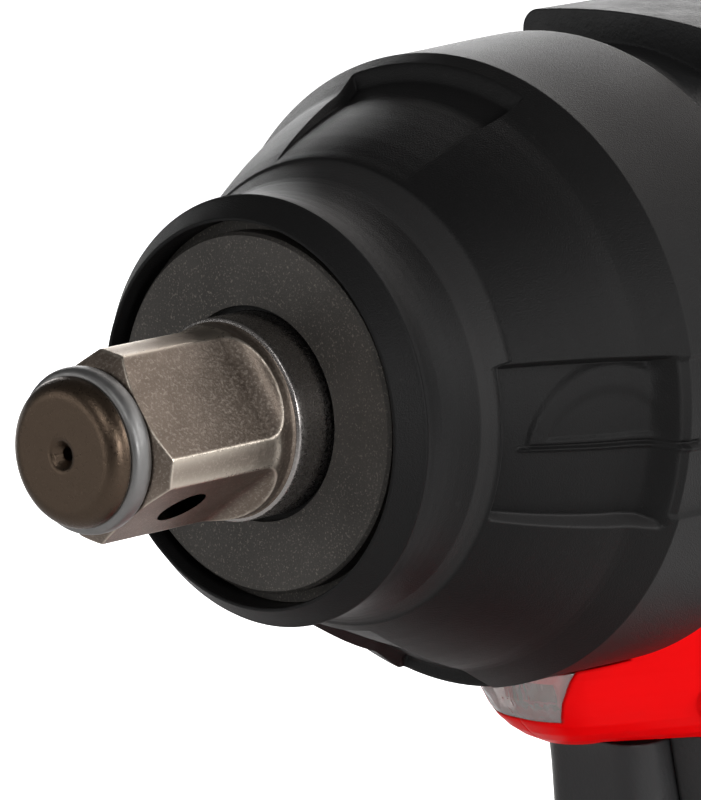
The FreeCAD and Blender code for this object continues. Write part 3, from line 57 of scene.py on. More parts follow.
# Sizes of the drive end, in millimetres and degrees.
SQUARE = 19.05                 # across flats
SQUARE_ROLL = 36.4             # the angle of the first flat, from the tool's left
CORNER_CUT = 2.5               # how far the square's corners are shaved
PILOT_RADIUS = 9.04
COLLAR_RADIUS = 12.4
HOLE_RADIUS = 3.2              # cross hole for the socket pin
HOLE_FROM_NOSE = 18.5
EAR_RADIUS = 25.0              # the two ears that the hammer strikes
FAR = 1e3                      # a radius that never limits anything
RIM_LINE = 13.0                # the boot's neck ends this far behind the nose face
PANEL_END = 34.0               # its side panels end here


# ------------------------------------------------------------------ mesh helpers
def to_frame(a, y, z):
    """Tool millimetres (forward of the nose face, left, up from the axis) to frame metres."""
    return np.stack([(NOSE + a) * MM, y * MM, (AXIS + z) * MM], axis=-1)


def make_mesh(name, verts, faces, body, attributes=None):
    mesh = bpy.data.meshes.new(name)
    verts = np.asarray(verts, dtype=np.float32)
    faces = np.asarray(faces, dtype=np.int32)
    mesh.vertices.add(len(verts))
    mesh.vertices.foreach_set("co", verts.ravel())
    size = faces.shape[1]
    mesh.loops.add(faces.size)
    mesh.loops.foreach_set("vertex_index", faces.ravel())
    mesh.polygons.add(len(faces))
    mesh.polygons.foreach_set("loop_start", np.arange(0, faces.size, size, dtype=np.int32))
    mesh.polygons.foreach_set("use_smooth", np.full(len(faces), True, dtype=bool))
    mesh.update(calc_edges=True)
    for key, values in (attributes or {}).items():
        layer = mesh.attributes.new(key, "FLOAT", "POINT")
        layer.data.foreach_set("value", np.asarray(values, dtype=np.float32).ravel())
    thing = bpy.data.objects.new(name, mesh)
    bpy.context.scene.collection.objects.link(thing)
    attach(thing, body)
    return thing


def wrap_faces(rows, columns, closed_rows=False):
    """Quads of a grid whose columns go all the way round, and its rows too if closed_rows."""
    rr, cc = np.meshgrid(np.arange(rows if closed_rows else rows - 1), np.arange(columns), indexing="ij")
    nxt_r, nxt_c = (rr + 1) % rows, (cc + 1) % columns
    quads = np.stack([rr * columns + cc, rr * columns + nxt_c, nxt_r * columns + nxt_c, nxt_r * columns + cc],
                     axis=-1)
    return quads.reshape(-1, 4)


def smoothstep(x, lo, hi):
    """0 below lo, 1 above hi and a smooth rise between."""
    k = np.clip((x - lo) / (hi - lo), 0.0, 1.0)
    return k * k * (3 - 2 * k)


def window(x, lo, hi, soft):
    """1 between lo and hi and 0 outside, with soft wide edges centred on both."""
    return smoothstep(x, lo - soft / 2, lo + soft / 2) * (1 - smoothstep(x, hi - soft / 2, hi + soft / 2))


def rise_and_fall(x, rise_lo, rise_hi, fall_lo, fall_hi):
    """0, then up to 1 between the first two values, then down to 0 between the last two."""
    return smoothstep(x, rise_lo, rise_hi) * (1 - smoothstep(x, fall_lo, fall_hi))


def smooth_min(a, b, k):
    """The smaller of two, rounded over a width of k where they cross."""
    mix = np.clip(0.5 + 0.5 * (b - a) / k, 0, 1)
    return b * (1 - mix) + a * mix - k * mix * (1 - mix)


def dense_path(points, step):
    """Points along straight runs, no further apart than step."""
    out = []
    for (a0, r0), (a1, r1) in zip(points[:-1], points[1:]):
        length = math.hypot(a1 - a0, r1 - r0)
        count = max(1, int(math.ceil(length / step)))
        for i in range(count):
            k = i / count
            out.append((a0 + (a1 - a0) * k, r0 + (r1 - r0) * k))
    out.append(points[-1])
    return np.array(out)


# ------------------------------------------------------------------ anvil
def square_radius(t, a, centre, reach, distance, scoop_front, scoop_radius, rear):
    """Radius of one flat or corner cut of the square, scooped up where it runs out at the rear."""
    d = (t - centre + math.pi) % (2 * math.pi) - math.pi
    near = np.abs(d) < math.radians(reach)
    back = np.clip(scoop_front - a, 0, scoop_radius - 0.01)
    lift = scoop_radius - np.sqrt(np.maximum(scoop_radius ** 2 - back ** 2, 0))
    lift = lift + np.where(a < rear, 50.0, 0.0)
    return np.where(near[None, :], (distance + lift) / np.maximum(np.cos(d), 0.3)[None, :], FAR)


def build_anvil():
    """The anvil's turned body with its square drive, and the cutter for its cross hole."""
    flat = SQUARE / 2
    chamfer = (SQUARE - CORNER_CUT) * math.sqrt(0.5)
    roll = math.radians(SQUARE_ROLL)
    tip, round_off = anvil_high[0] * 1000 - NOSE, 2.4
    front = [(tip - 4.4, 0.02), (tip - 4.35, 0.75), (tip - 1.2, 0.8), (tip - 0.4, 1.5), (tip - 0.12, 1.78),
             (tip, 2.15), (tip, PILOT_RADIUS - round_off)]
    fillet = [(tip - round_off * (1 - math.cos(u)), PILOT_RADIUS - round_off * (1 - math.sin(u)))
              for u in np.linspace(0.1, math.pi / 2, 14)]
    rest = [(30.42, 9.0), (30.4, 7.4), (27.4, 7.4), (27.38, 9.75), (27.26, 9.98), (26.2, 11.74),
            (26.0, 11.86), (11, 11.9), (7.2, 11.84), (6.5, 11.72), (5.75, 11.7), (5.35, 11.85), (5.15, 12.3),
            (4.9, COLLAR_RADIUS), (-38.9, COLLAR_RADIUS), (-39.5, 11.8), (-39.5, 6.0), (-25.0, 6.0),
            (-24.8, 0.02)]
    # fine steps as far as the collar's front edge, coarse ones over what the case hides
    path = dense_path(front + fillet + rest[:-5], 0.14)
    path = np.vstack([path, dense_path(rest[-6:], 1.2)[1:]])
    columns = 720
    t = np.linspace(0, 2 * math.pi, columns, endpoint=False)
    a = path[:, 0][:, None]
    r = path[:, 1][:, None] * np.ones((1, columns))
    limit = np.full_like(r, FAR)
    radii = []
    for k in range(4):
        centre = roll + k * math.pi / 2
        radii.append(square_radius(t, a, centre, 62, flat, 9.7, 3.2, 6.45))
        radii.append(square_radius(t, a, centre + math.pi / 4, 40, chamfer, 9.0, 3.0, 6.0))
    for reach in radii:
        limit = smooth_min(limit, reach, 0.22)
    shaped = smooth_min(r, np.where(r > 8.9, limit, FAR), 0.2)
    shaped = np.where((a > 30.0) | (r < 8.9) | (a < 4.9), r, shaped)
    # where two surfaces are equally near, the edge is worn bright
    stack = np.sort(np.stack(radii + [r]), axis=0)
    edge = np.exp(-((stack[1] - stack[0]) / 0.16) ** 2) * ((a < 27.3) & (a > 5.0) & (r > 9.0))
    kind = np.where(a > 30.5, 1.0, 0.0) * np.ones_like(r)                  # turned pilot
    kind = np.where((a < 5.35) & (a > -39), 2.0, kind)                   # ground collar
    y, z = shaped * np.cos(t), shaped * np.sin(t)
    verts = to_frame(a * np.ones_like(y), y, z).reshape(-1, 3)
    faces = wrap_faces(len(path), columns)
    thing = make_mesh("anvil_body", verts, faces, "anvil",
                      attributes={"edge": edge, "zone": kind})
    # cross hole for the socket pin, through two opposite flats
    turn = roll - math.pi / 2
    hole = bpy.data.meshes.new("pin_hole_cutter")
    b = bmesh.new()
    bmesh.ops.create_cone(b, cap_ends=True, segments=96, radius1=HOLE_RADIUS * MM, radius2=HOLE_RADIUS * MM,
                          depth=40 * MM)
    b.to_mesh(hole)
    b.free()
    cutter = bpy.data.objects.new("pin_hole_cutter", hole)
    bpy.context.scene.collection.objects.link(cutter)
    direction = Vector((0, math.cos(turn), math.sin(turn)))
    centre = Matrix.Translation(Vector(((NOSE + HOLE_FROM_NOSE) * MM, 0, AXIS * MM)))
    cutter.matrix_world = centre @ direction.to_track_quat("Z", "Y").to_matrix().to_4x4()
    return thing, cutter


def apply_boolean(thing, cutter):
    """Cut one mesh with another and keep the result as the first one's own mesh."""
    mod = thing.modifiers.new("cut", "BOOLEAN")
    mod.operation = "DIFFERENCE"
    mod.solver = "EXACT"
    mod.object = cutter
    bpy.context.view_layer.update()
    mesh = bpy.data.meshes.new_from_object(thing.evaluated_get(bpy.context.evaluated_depsgraph_get()))
    old = thing.data
    thing.modifiers.clear()
    thing.data = mesh
    bpy.data.meshes.remove(old)
    bpy.data.objects.remove(cutter)


def build_ring():
    """Split friction ring: a rounded hoop with a narrow gap."""
    columns, rows = 420, 26
    t = np.radians(np.linspace(239.0, 225.0 + 360.0, columns))
    u = np.linspace(0, 2 * math.pi, rows, endpoint=False)
    half_wide, half_deep, mid_a, mid_r = 1.46, 1.02, 28.9, 8.98
    ca = np.sign(np.cos(u)) * np.abs(np.cos(u)) ** 0.72
    cr = np.sign(np.sin(u)) * np.abs(np.sin(u)) ** 0.9
    a = mid_a + half_wide * ca[:, None] * np.ones((1, columns))
    r = mid_r + half_deep * cr[:, None] * np.ones((1, columns))
    y, z = r * np.cos(t)[None, :], r * np.sin(t)[None, :]
    verts = to_frame(a, y, z).reshape(-1, 3)
    rr, cc = np.meshgrid(np.arange(rows), np.arange(columns - 1), indexing="ij")
    nr = (rr + 1) % rows
    faces = np.stack([rr * columns + cc, nr * columns + cc, nr * columns + cc + 1, rr * columns + cc + 1],
                     axis=-1).reshape(-1, 4)
    thing = make_mesh("friction_ring_hoop", verts, faces, "anvil")
    b = bmesh.new()
    b.from_mesh(thing.data)
    bmesh.ops.holes_fill(b, edges=[e for e in b.edges if e.is_boundary], sides=0)
    b.to_mesh(thing.data)
    b.free()
    return thing


def sector(profile, start, sweep, columns=40):
    """A closed sector solid: a loop of (a, r) points swept about the drive axis."""
    loop = []
    for (a0, r0), (a1, r1) in zip(profile, profile[1:] + profile[:1]):
        length = math.hypot(a1 - a0, r1 - r0)
        cuts = [0.0, min(0.35 / length, 0.2), 1 - min(0.35 / length, 0.2)]
        loop += [(a0 + (a1 - a0) * k, r0 + (r1 - r0) * k) for k in cuts]
    loop = np.array([(a, r) for n, (a, r) in enumerate(loop) if n % 3])
    t = np.radians(np.linspace(start, start + sweep, columns))
    a = loop[:, 0][:, None] * np.ones((1, columns))
    y, z = loop[:, 1][:, None] * np.cos(t), loop[:, 1][:, None] * np.sin(t)
    verts = to_frame(a, y, z).reshape(-1, 3)
    n = len(loop)
    rr, cc = np.meshgrid(np.arange(n), np.arange(columns - 1), indexing="ij")
    nr = (rr + 1) % n
    quads = np.stack([rr * columns + cc, rr * columns + cc + 1, nr * columns + cc + 1, nr * columns + cc], -1)
    ends = [[k * columns for k in range(n)], [k * columns + columns - 1 for k in range(n)][::-1]]
    return verts.tolist(), [list(map(int, q)) for q in quads.reshape(-1, 4)] + ends


def add_solids(thing, pieces):
    """Join closed solids to a piece's mesh, with the outward sides found again."""
    b = bmesh.new()
    b.from_mesh(thing.data)
    for verts, faces in pieces:
        made = [b.verts.new(v) for v in verts]
        fresh = [b.faces.new([made[k] for k in face]) for face in faces]
        bmesh.ops.recalc_face_normals(b, faces=fresh)
        for face in fresh:
            face.smooth = False
    b.to_mesh(thing.data)
    b.free()


anvil_piece, hole_cutter = build_anvil()
apply_boolean(anvil_piece, hole_cutter)
EAR = [(-30.0, 12.3), (-30.0, EAR_RADIUS), (-39.5, EAR_RADIUS), (-39.5, 12.3)]
FLANGE = [(-30.0, 12.3), (-30.0, 17.5), (-32.5, 17.5), (-32.5, 12.3)]
add_solids(anvil_piece, [sector(EAR, side, 50.0) for side in (0.0, 180.0)] +
           [sector(FLANGE, side, 130.0, 80) for side in (50.0, 230.0)])
ring_piece = build_ring()
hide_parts("anvil")
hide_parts("friction_ring")


# ------------------------------------------------------------------ boot over the hammer case
# Outline of the dome and the neck: distance from the nose face, and radius.
DOME_A = np.array([-80.0, -35.0, -32.4, -30.3, -29.5, -27.5, -25.6, -23.5, -21.4, -19.3, -17.2, -15.1, -13.0,
                   -11.0])
DOME_R = np.array([39.85, 39.8, 38.2, 36.85, 36.45, 35.75, 34.95, 34.0, 32.95, 31.85, 30.65, 29.35, 28.0,
                   26.7])
NECK_A = np.array([-18.0, -14.9, -13.0, -12.0, -11.1, -9.5, -8.0, -6.5, -5.0, -3.6, -2.6, -1.95])
NECK_R = np.array([30.2, 29.0, 27.8, 27.15, 26.75, 26.35, 26.05, 25.9, 25.9, 26.1, 26.33, 26.4])


def wrapped(t):
    """A polar angle between -180 and 180 degrees: 0 is left and 90 is up."""
    return (t + 180.0) % 360.0 - 180.0


def height_angle(t):
    """Degrees above the horizontal on either side, so that both halves share their relief."""
    ta = wrapped(t)
    return np.where(np.abs(ta) > 90, np.sign(ta) * (180 - np.abs(ta)), ta)


def front_shift(up):
    """How much further back the dome's front edge lies above the side panel."""
    return 1.7 * smoothstep(up, 15.2, 16.0)


def panel_low(a):
    """The lower edge of the side panel, in degrees."""
    return np.interp(-a, [RIM_LINE, PANEL_END], [-23.6, -21.0])


def boot_radius(a, t):
    """Outer radius of the boot at this distance and polar angle, in millimetres and degrees."""
    ta, up = wrapped(t), height_angle(t)
    dome = np.interp(a, DOME_A, DOME_R)
    neck = np.interp(a, NECK_A, NECK_R)
    shift = front_shift(up)
    step = smoothstep(-a, RIM_LINE + shift - 0.25, RIM_LINE + shift + 0.25)
    r = neck * (1 - step) + np.maximum(dome, neck) * step
    # behind the rim the boot is a cylinder
    cyl = 39.8 + 0.5 * smoothstep(-a, 35.0, 57.0)
    behind = smoothstep(-a, 34.9, 35.3)
    r = r * (1 - behind) + cyl * behind
    # side panels: sunk between two edges that run along the tool
    depth = np.interp(-a, [RIM_LINE, 20.0, 30.0, PANEL_END], [1.6, 1.9, 2.3, 2.7])
    high = np.interp(-a, [RIM_LINE, 20.0, PANEL_END], [15.3, 13.6, 10.4])
    inside = window(up, panel_low(a), high, 0.9) * rise_and_fall(-a, 13.2, 14.4, 31.6, 34.2)
    r = r - depth * inside
    # a slight flat carries the panel over the rim and along the cylinder
    r = r - 0.45 * window(up, -19.0, 10.0, 1.2) * rise_and_fall(-a, 33.6, 34.2, 54.0, 55.0)
    # half-moon relief in the panel: straight lower edge, arched top
    arch_a, arch_top, half, border = -26.5, 12.0, 9.6, 2.1
    k = np.clip(1 - ((a - arch_a) / half) ** 2, 0, 1)
    top = -6.0 + (arch_top + 6.0) * np.sqrt(k)
    moon = (k > 0) * smoothstep(top - up, -1.2, 1.6) * smoothstep(up, -6.3, -5.7)
    k = np.clip(1 - ((a - arch_a) / (half - border)) ** 2, 0, 1)
    inner_top = -6.0 + (arch_top + 0.2) * np.sqrt(k)
    inner = (k > 0) * smoothstep(inner_top - up, -1.0, 1.4) * smoothstep(up, -4.2, -3.0)
    r = r + (0.45 * moon - 0.3 * inner) * inside
    # fine ridge under it, running back over the cylinder
    ridge = np.exp(-((up + 6.15) / 0.42) ** 2) * rise_and_fall(-a, 15.8, 16.4, 52.0, 53.0)
    r = r + 0.42 * ridge
    r = r - 0.35 * np.exp(-((up + 5.1) / 0.4) ** 2) * window(-a, 17.0, 36.5, 0.6)
    # top panel and lower panel
    side_top = np.abs(ta - 90.0)
    panel = (1 - smoothstep(side_top, 20.6, 21.4)) * rise_and_fall(-a, 15.0, 16.2, 32.5, 33.3)
    r = r - np.interp(-a, [15.0, 19.0, 26.0, 33.0], [0.0, 0.35, 1.1, 1.9]) * panel
    side_low = np.abs(ta + 90.0)
    panel = (1 - smoothstep(side_low, 10.6, 11.4)) * rise_and_fall(-a, 14.5, 16.5, 35.6, 36.0)
    r = r - np.interp(-a, [14.5, 24.0, 36.0], [0.8, 1.6, 2.2]) * panel
    return r


def build_boot():
    """The whole boot as one closed skin: lip, outside, rear edge, inside."""
    lip = [(0.3, 23.5), (0.9, 23.5), (1.1, 23.58), (1.15, 23.75), (1.08, 23.95), (-1.45, 26.02),
           (-1.75, 26.3), (-1.95, 26.4)]
    start = dense_path(lip, 0.14)
    runs = [(-1.95, -11.0, 0.22), (-11.0, -18.0, 0.13), (-18.0, -29.0, 0.25), (-29.0, -36.8, 0.13),
            (-36.8, -51.0, 0.5), (-51.0, -56.2, 0.25)]
    outer = np.concatenate([np.arange(a0, a1, -st) for a0, a1, st in runs])
    end = dense_path([(-56.7, 40.0), (-57.0, 39.4), (-57.0, 37.2)], 0.3)
    inner = [(-57.0, 36.95), (-49.55, 36.95), (-49.5, 34.95), (-40.0, 34.9), (-35.5, 34.8), (-30.0, 32.65),
             (-12.0, 24.65), (-3.0, 23.55), (0.3, 23.52)]
    tail = dense_path(inner, 2.0)[:-1]
    # more columns where relief edges run along the tool
    marks = [-23.6, -22.8, -22.0, -21.0, -19.0, -6.3, -5.7, -5.0, -3.6, 10.4, 11.5, 12.6, 13.8, 15.3,
             58.0, 69.0, 79.0]
    marks = sorted(set(marks + [180 - m for m in marks] + [111.0, 101.0, -69.0, -79.0, -101.0, -111.0]))
    fine = [np.arange(m - 1.3, m + 1.3, 0.13) for m in marks]
    t = np.unique(np.round(np.concatenate([np.arange(-90, 270, 0.6)] + fine), 3))
    t = t[(t >= -90) & (t < 270)]
    keep = [t[0]]
    for x in t[1:]:
        if x - keep[-1] > 0.08:
            keep.append(x)
    t = np.array(keep)
    columns = len(t)
    ones = np.ones((1, columns))
    a_outer = outer[:, None] * ones
    r_outer = boot_radius(a_outer, t[None, :] * np.ones((len(outer), 1)))
    up = height_angle(t)[None, :]
    parts_a = [start[:, :1] * ones, a_outer, end[:, :1] * ones, tail[:, :1] * ones]
    parts_r = [start[:, 1:] * ones, r_outer, end[:, 1:] * ones, tail[:, 1:] * ones]
    a, r = np.vstack(parts_a), np.vstack(parts_r)
    angle = np.radians(t)[None, :]
    y, z = r * np.cos(angle), r * np.sin(angle)
    rows = a.shape[0]
    # painted highlight: the hollow before the dome and the ledge under each side panel are drawn lighter,
    # standing in for the light they catch
    painted_highlight = np.zeros_like(a)
    first = len(start)
    painted_highlight[first:first + len(outer)] = window(-a_outer, 11.0, RIM_LINE + front_shift(up), 0.3)
    low = panel_low(a_outer)
    ledge = window(up, low - 0.7, low + 0.7, 0.5) * window(-a_outer, 13.6, 33.2, 0.5)
    painted_highlight[first:first + len(outer)] += 1.6 * ledge
    ringed = np.zeros_like(a)
    ringed[:first + 8] = 1.0
    verts = to_frame(a, y, z).reshape(-1, 3)
    return make_mesh("hammer_case_boot_shell", verts, wrap_faces(rows, columns, True), "tool",
                     attributes={"painted_highlight": painted_highlight, "bevel": ringed})


boot_piece = build_boot()
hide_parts("hammer_case_boot")


# ------------------------------------------------------------------ materials
def tree_of(name):
    """A new node material: itself, its tree, its main shader and its coordinates."""
    material = bpy.data.materials.new(name)
    material.use_nodes = True
    tree = material.node_tree
    shader = tree.nodes["Principled BSDF"]
    coords = tree.nodes.new("ShaderNodeTexCoord")
    return material, tree, shader, coords


def noise(tree, coords, scale, detail=4.0, rough=0.55, stretch=None):
    node = tree.nodes.new("ShaderNodeTexNoise")
    node.inputs["Scale"].default_value = scale
    node.inputs["Detail"].default_value = detail
    node.inputs["Roughness"].default_value = rough
    if stretch:
        mapping = tree.nodes.new("ShaderNodeMapping")
        mapping.inputs["Scale"].default_value = stretch
        tree.links.new(coords.outputs["Object"], mapping.inputs["Vector"])
        tree.links.new(mapping.outputs["Vector"], node.inputs["Vector"])
    else:
        tree.links.new(coords.outputs["Object"], node.inputs["Vector"])
    return node


def ramp(tree, source, lo, hi, at_lo, at_hi):
    """A value that goes from at_lo to at_hi while the source goes from lo to hi."""
    node = tree.nodes.new("ShaderNodeMapRange")
    node.inputs["From Min"].default_value = lo
    node.inputs["From Max"].default_value = hi
    node.inputs["To Min"].default_value = at_lo
    node.inputs["To Max"].default_value = at_hi
    tree.links.new(source, node.inputs["Value"])
    return node.outputs["Result"]


def mix_color(tree, factor, first, second):
    """Mix two colours, each a tuple or a socket, by a factor socket."""
    node = tree.nodes.new("ShaderNodeMix")
    node.data_type = "RGBA"
    tree.links.new(factor, node.inputs["Factor"])
    for socket, value in ((node.inputs[6], first), (node.inputs[7], second)):
        if isinstance(value, tuple):
            socket.default_value = (*value, 1.0)
        else:
            tree.links.new(value, socket)
    return node.outputs[2]


def maths(tree, operation, first, second=None, clamp=False):
    node = tree.nodes.new("ShaderNodeMath")
    node.operation = operation
    node.use_clamp = clamp
    for socket, value in zip(node.inputs, (first, second)):
        if value is None:
            continue
        if isinstance(value, (int, float)):
            socket.default_value = value
        else:
            tree.links.new(value, socket)
    return node.outputs[0]


def bump(tree, shader, heights, round_edges=0.0):
    """heights is a list of (source, distance in metres, strength)."""
    last = None
    if round_edges:
        bevel = tree.nodes.new("ShaderNodeBevel")
        bevel.samples = 6
        bevel.inputs["Radius"].default_value = round_edges
        last = bevel.outputs["Normal"]
    for source, distance, strength in heights:
        node = tree.nodes.new("ShaderNodeBump")
        node.inputs["Distance"].default_value = distance
        node.inputs["Strength"].default_value = strength
        tree.links.new(source, node.inputs["Height"])
        if last is not None:
            tree.links.new(last, node.inputs["Normal"])
        last = node.outputs["Normal"]
    tree.links.new(last, shader.inputs["Normal"])


def attribute(tree, name):
    node = tree.nodes.new("ShaderNodeAttribute")
    node.attribute_name = name
    return node.outputs["Fac"]


def moulded(name, color, rough, grain, depth, spread, round_edges, shade=0.75, specular=0.5):
    """Moulded plastic or rubber: fine spark-eroded grain, slow tone changes and scuffs."""
    material, tree, shader, coords = tree_of(name)
    slow = noise(tree, coords, 34.0, 5.0)
    fine = noise(tree, coords, grain, 2.0, 0.6)
    scuff = noise(tree, coords, 160.0, 6.0, 0.7, (1.0, 1.0, 0.35))
    dark = tuple(c * shade for c in color)
    tone = mix_color(tree, ramp(tree, slow.outputs["Fac"], 0.3, 0.7, 0.0, 1.0), color, dark)
    tree.links.new(tone, shader.inputs["Base Color"])
    base = ramp(tree, scuff.outputs["Fac"], 0.35, 0.7, rough - spread / 2, rough + spread / 2)
    tree.links.new(base, shader.inputs["Roughness"])
    shader.inputs["Specular IOR Level"].default_value = specular
    bump(tree, shader, [(fine.outputs["Fac"], depth, 0.8)], round_edges)
    return material


def metal(name, color, rough, grain, depth, spread, stretch=None, round_edges=0.0):
    """Bare metal: slow tone changes, and a fine grain in its shine and surface."""
    material, tree, shader, coords = tree_of(name)
    slow = noise(tree, coords, 60.0, 6.0)
    fine = noise(tree, coords, grain, 3.0, 0.65, stretch)
    tone = mix_color(tree, ramp(tree, slow.outputs["Fac"], 0.3, 0.7, 0.0, 1.0), color,
                     tuple(c * 0.7 for c in color))
    tree.links.new(tone, shader.inputs["Base Color"])
    shader.inputs["Metallic"].default_value = 1.0
    tree.links.new(ramp(tree, fine.outputs["Fac"], 0.3, 0.7, rough - spread / 2, rough + spread / 2),
                   shader.inputs["Roughness"])
    bump(tree, shader, [(fine.outputs["Fac"], depth, 0.7)], round_edges)
    return material


def anvil_material():
    """Blasted steel with a brown pilot, a ground collar and edges worn bright."""
    material, tree, shader, coords = tree_of("anvil_bronze_steel")
    edge, zone = attribute(tree, "edge"), attribute(tree, "zone")
    pilot = maths(tree, "COMPARE", zone, 1.0)
    collar = maths(tree, "COMPARE", zone, 2.0)
    for node in tree.nodes:
        if node.type == "MATH" and node.operation == "COMPARE":
            node.inputs[2].default_value = 0.4
    slow = noise(tree, coords, 110.0, 6.0, 0.6)
    blast = noise(tree, coords, 2600.0, 3.0, 0.7)
    pits = noise(tree, coords, 5200.0, 2.0, 0.6)
    flat_tone = mix_color(tree, ramp(tree, slow.outputs["Fac"], 0.35, 0.68, 0.0, 1.0),
                          (0.25, 0.203, 0.168), (0.155, 0.122, 0.098))
    speckle = mix_color(tree, ramp(tree, blast.outputs["Fac"], 0.50, 0.66, 0.0, 0.55), flat_tone,
                        (0.46, 0.40, 0.34))
    piloted = mix_color(tree, pilot, speckle, (0.10, 0.072, 0.052))
    collared = mix_color(tree, collar, piloted, (0.42, 0.395, 0.38))
    worn = mix_color(tree, edge, collared, (0.66, 0.585, 0.50))
    tree.links.new(worn, shader.inputs["Base Color"])
    shader.inputs["Metallic"].default_value = 1.0
    base = ramp(tree, blast.outputs["Fac"], 0.3, 0.7, 0.34, 0.52)
    base = maths(tree, "SUBTRACT", base, maths(tree, "MULTIPLY", collar, 0.16))
    base = maths(tree, "SUBTRACT", base, maths(tree, "MULTIPLY", pilot, 0.10))
    base = maths(tree, "SUBTRACT", base, maths(tree, "MULTIPLY", edge, 0.12), clamp=True)
    tree.links.new(base, shader.inputs["Roughness"])
    bump(tree, shader, [(blast.outputs["Fac"], 0.00006, 0.55), (pits.outputs["Fac"], 0.00002, 0.5),
                        (slow.outputs["Fac"], 0.0001, 0.15)])
    return material


def boot_material():
    """Black moulded elastomer with dust specks, and a painted highlight in the hollow before the dome and on
    the ledge under each side panel.
    """
    material, tree, shader, coords = tree_of("boot_elastomer")
    painted_highlight, bevel = attribute(tree, "painted_highlight"), attribute(tree, "bevel")
    slow = noise(tree, coords, 28.0, 4.0)
    grain = noise(tree, coords, 5200.0, 2.0, 0.6)
    dust = noise(tree, coords, 900.0, 6.0, 0.75)
    tone = mix_color(tree, ramp(tree, slow.outputs["Fac"], 0.3, 0.7, 0.0, 1.0), (0.0072, 0.0070, 0.0072),
                     (0.0105, 0.0102, 0.0102))
    tone = mix_color(tree, ramp(tree, dust.outputs["Fac"], 0.62, 0.76, 0.0, 0.22), tone, (0.07, 0.068, 0.066))
    # painted highlight: where this mask is set, the tone is mixed toward a lighter grey
    tone = mix_color(tree, maths(tree, "MULTIPLY", painted_highlight, 0.55, clamp=True), tone, (0.036, 0.035, 0.035))
    tree.links.new(tone, shader.inputs["Base Color"])
    rough = ramp(tree, slow.outputs["Fac"], 0.3, 0.7, 0.36, 0.47)
    rough = maths(tree, "ADD", rough, maths(tree, "MULTIPLY", bevel, 0.05))
    tree.links.new(rough, shader.inputs["Roughness"])
    shader.inputs["Specular IOR Level"].default_value = 0.15
    bump(tree, shader, [(grain.outputs["Fac"], 0.00011, 0.7)])
    return material


def nose_material():
    """Shot-blasted dark metal with small bright grains."""
    material, tree, shader, coords = tree_of("nose_blasted_metal")
    grain = noise(tree, coords, 3400.0, 3.0, 0.75)
    glint = noise(tree, coords, 4300.0, 1.0, 0.5)
    slow = noise(tree, coords, 90.0, 5.0)
    tone = mix_color(tree, ramp(tree, slow.outputs["Fac"], 0.3, 0.7, 0.0, 1.0), (0.088, 0.082, 0.076),
                     (0.060, 0.056, 0.052))
    tone = mix_color(tree, ramp(tree, glint.outputs["Fac"], 0.60, 0.72, 0.0, 0.55), tone, (0.26, 0.235, 0.20))
    tree.links.new(tone, shader.inputs["Base Color"])
    shader.inputs["Metallic"].default_value = 0.75
    tree.links.new(ramp(tree, grain.outputs["Fac"], 0.3, 0.7, 0.42, 0.62), shader.inputs["Roughness"])
    bump(tree, shader, [(grain.outputs["Fac"], 0.00009, 0.7)])
    return material


def lens_material():
    """Clear plastic, faintly pink, with a faceted inside that breaks up what is seen through it."""
    material, tree, shader, coords = tree_of("lamp_lens_clear")
    facets = noise(tree, coords, 420.0, 2.0, 0.5, (1.0, 1.0, 0.5))
    tone = mix_color(tree, ramp(tree, facets.outputs["Fac"], 0.35, 0.65, 0.0, 1.0), (0.86, 0.72, 0.70),
                     (0.97, 0.93, 0.92))
    tree.links.new(tone, shader.inputs["Base Color"])
    tree.links.new(ramp(tree, facets.outputs["Fac"], 0.3, 0.7, 0.04, 0.16), shader.inputs["Roughness"])
    shader.inputs["Transmission Weight"].default_value = 0.75
    shader.inputs["IOR"].default_value = 1.49
    bump(tree, shader, [(facets.outputs["Fac"], 0.0008, 0.5)], 0.0003)
    return material


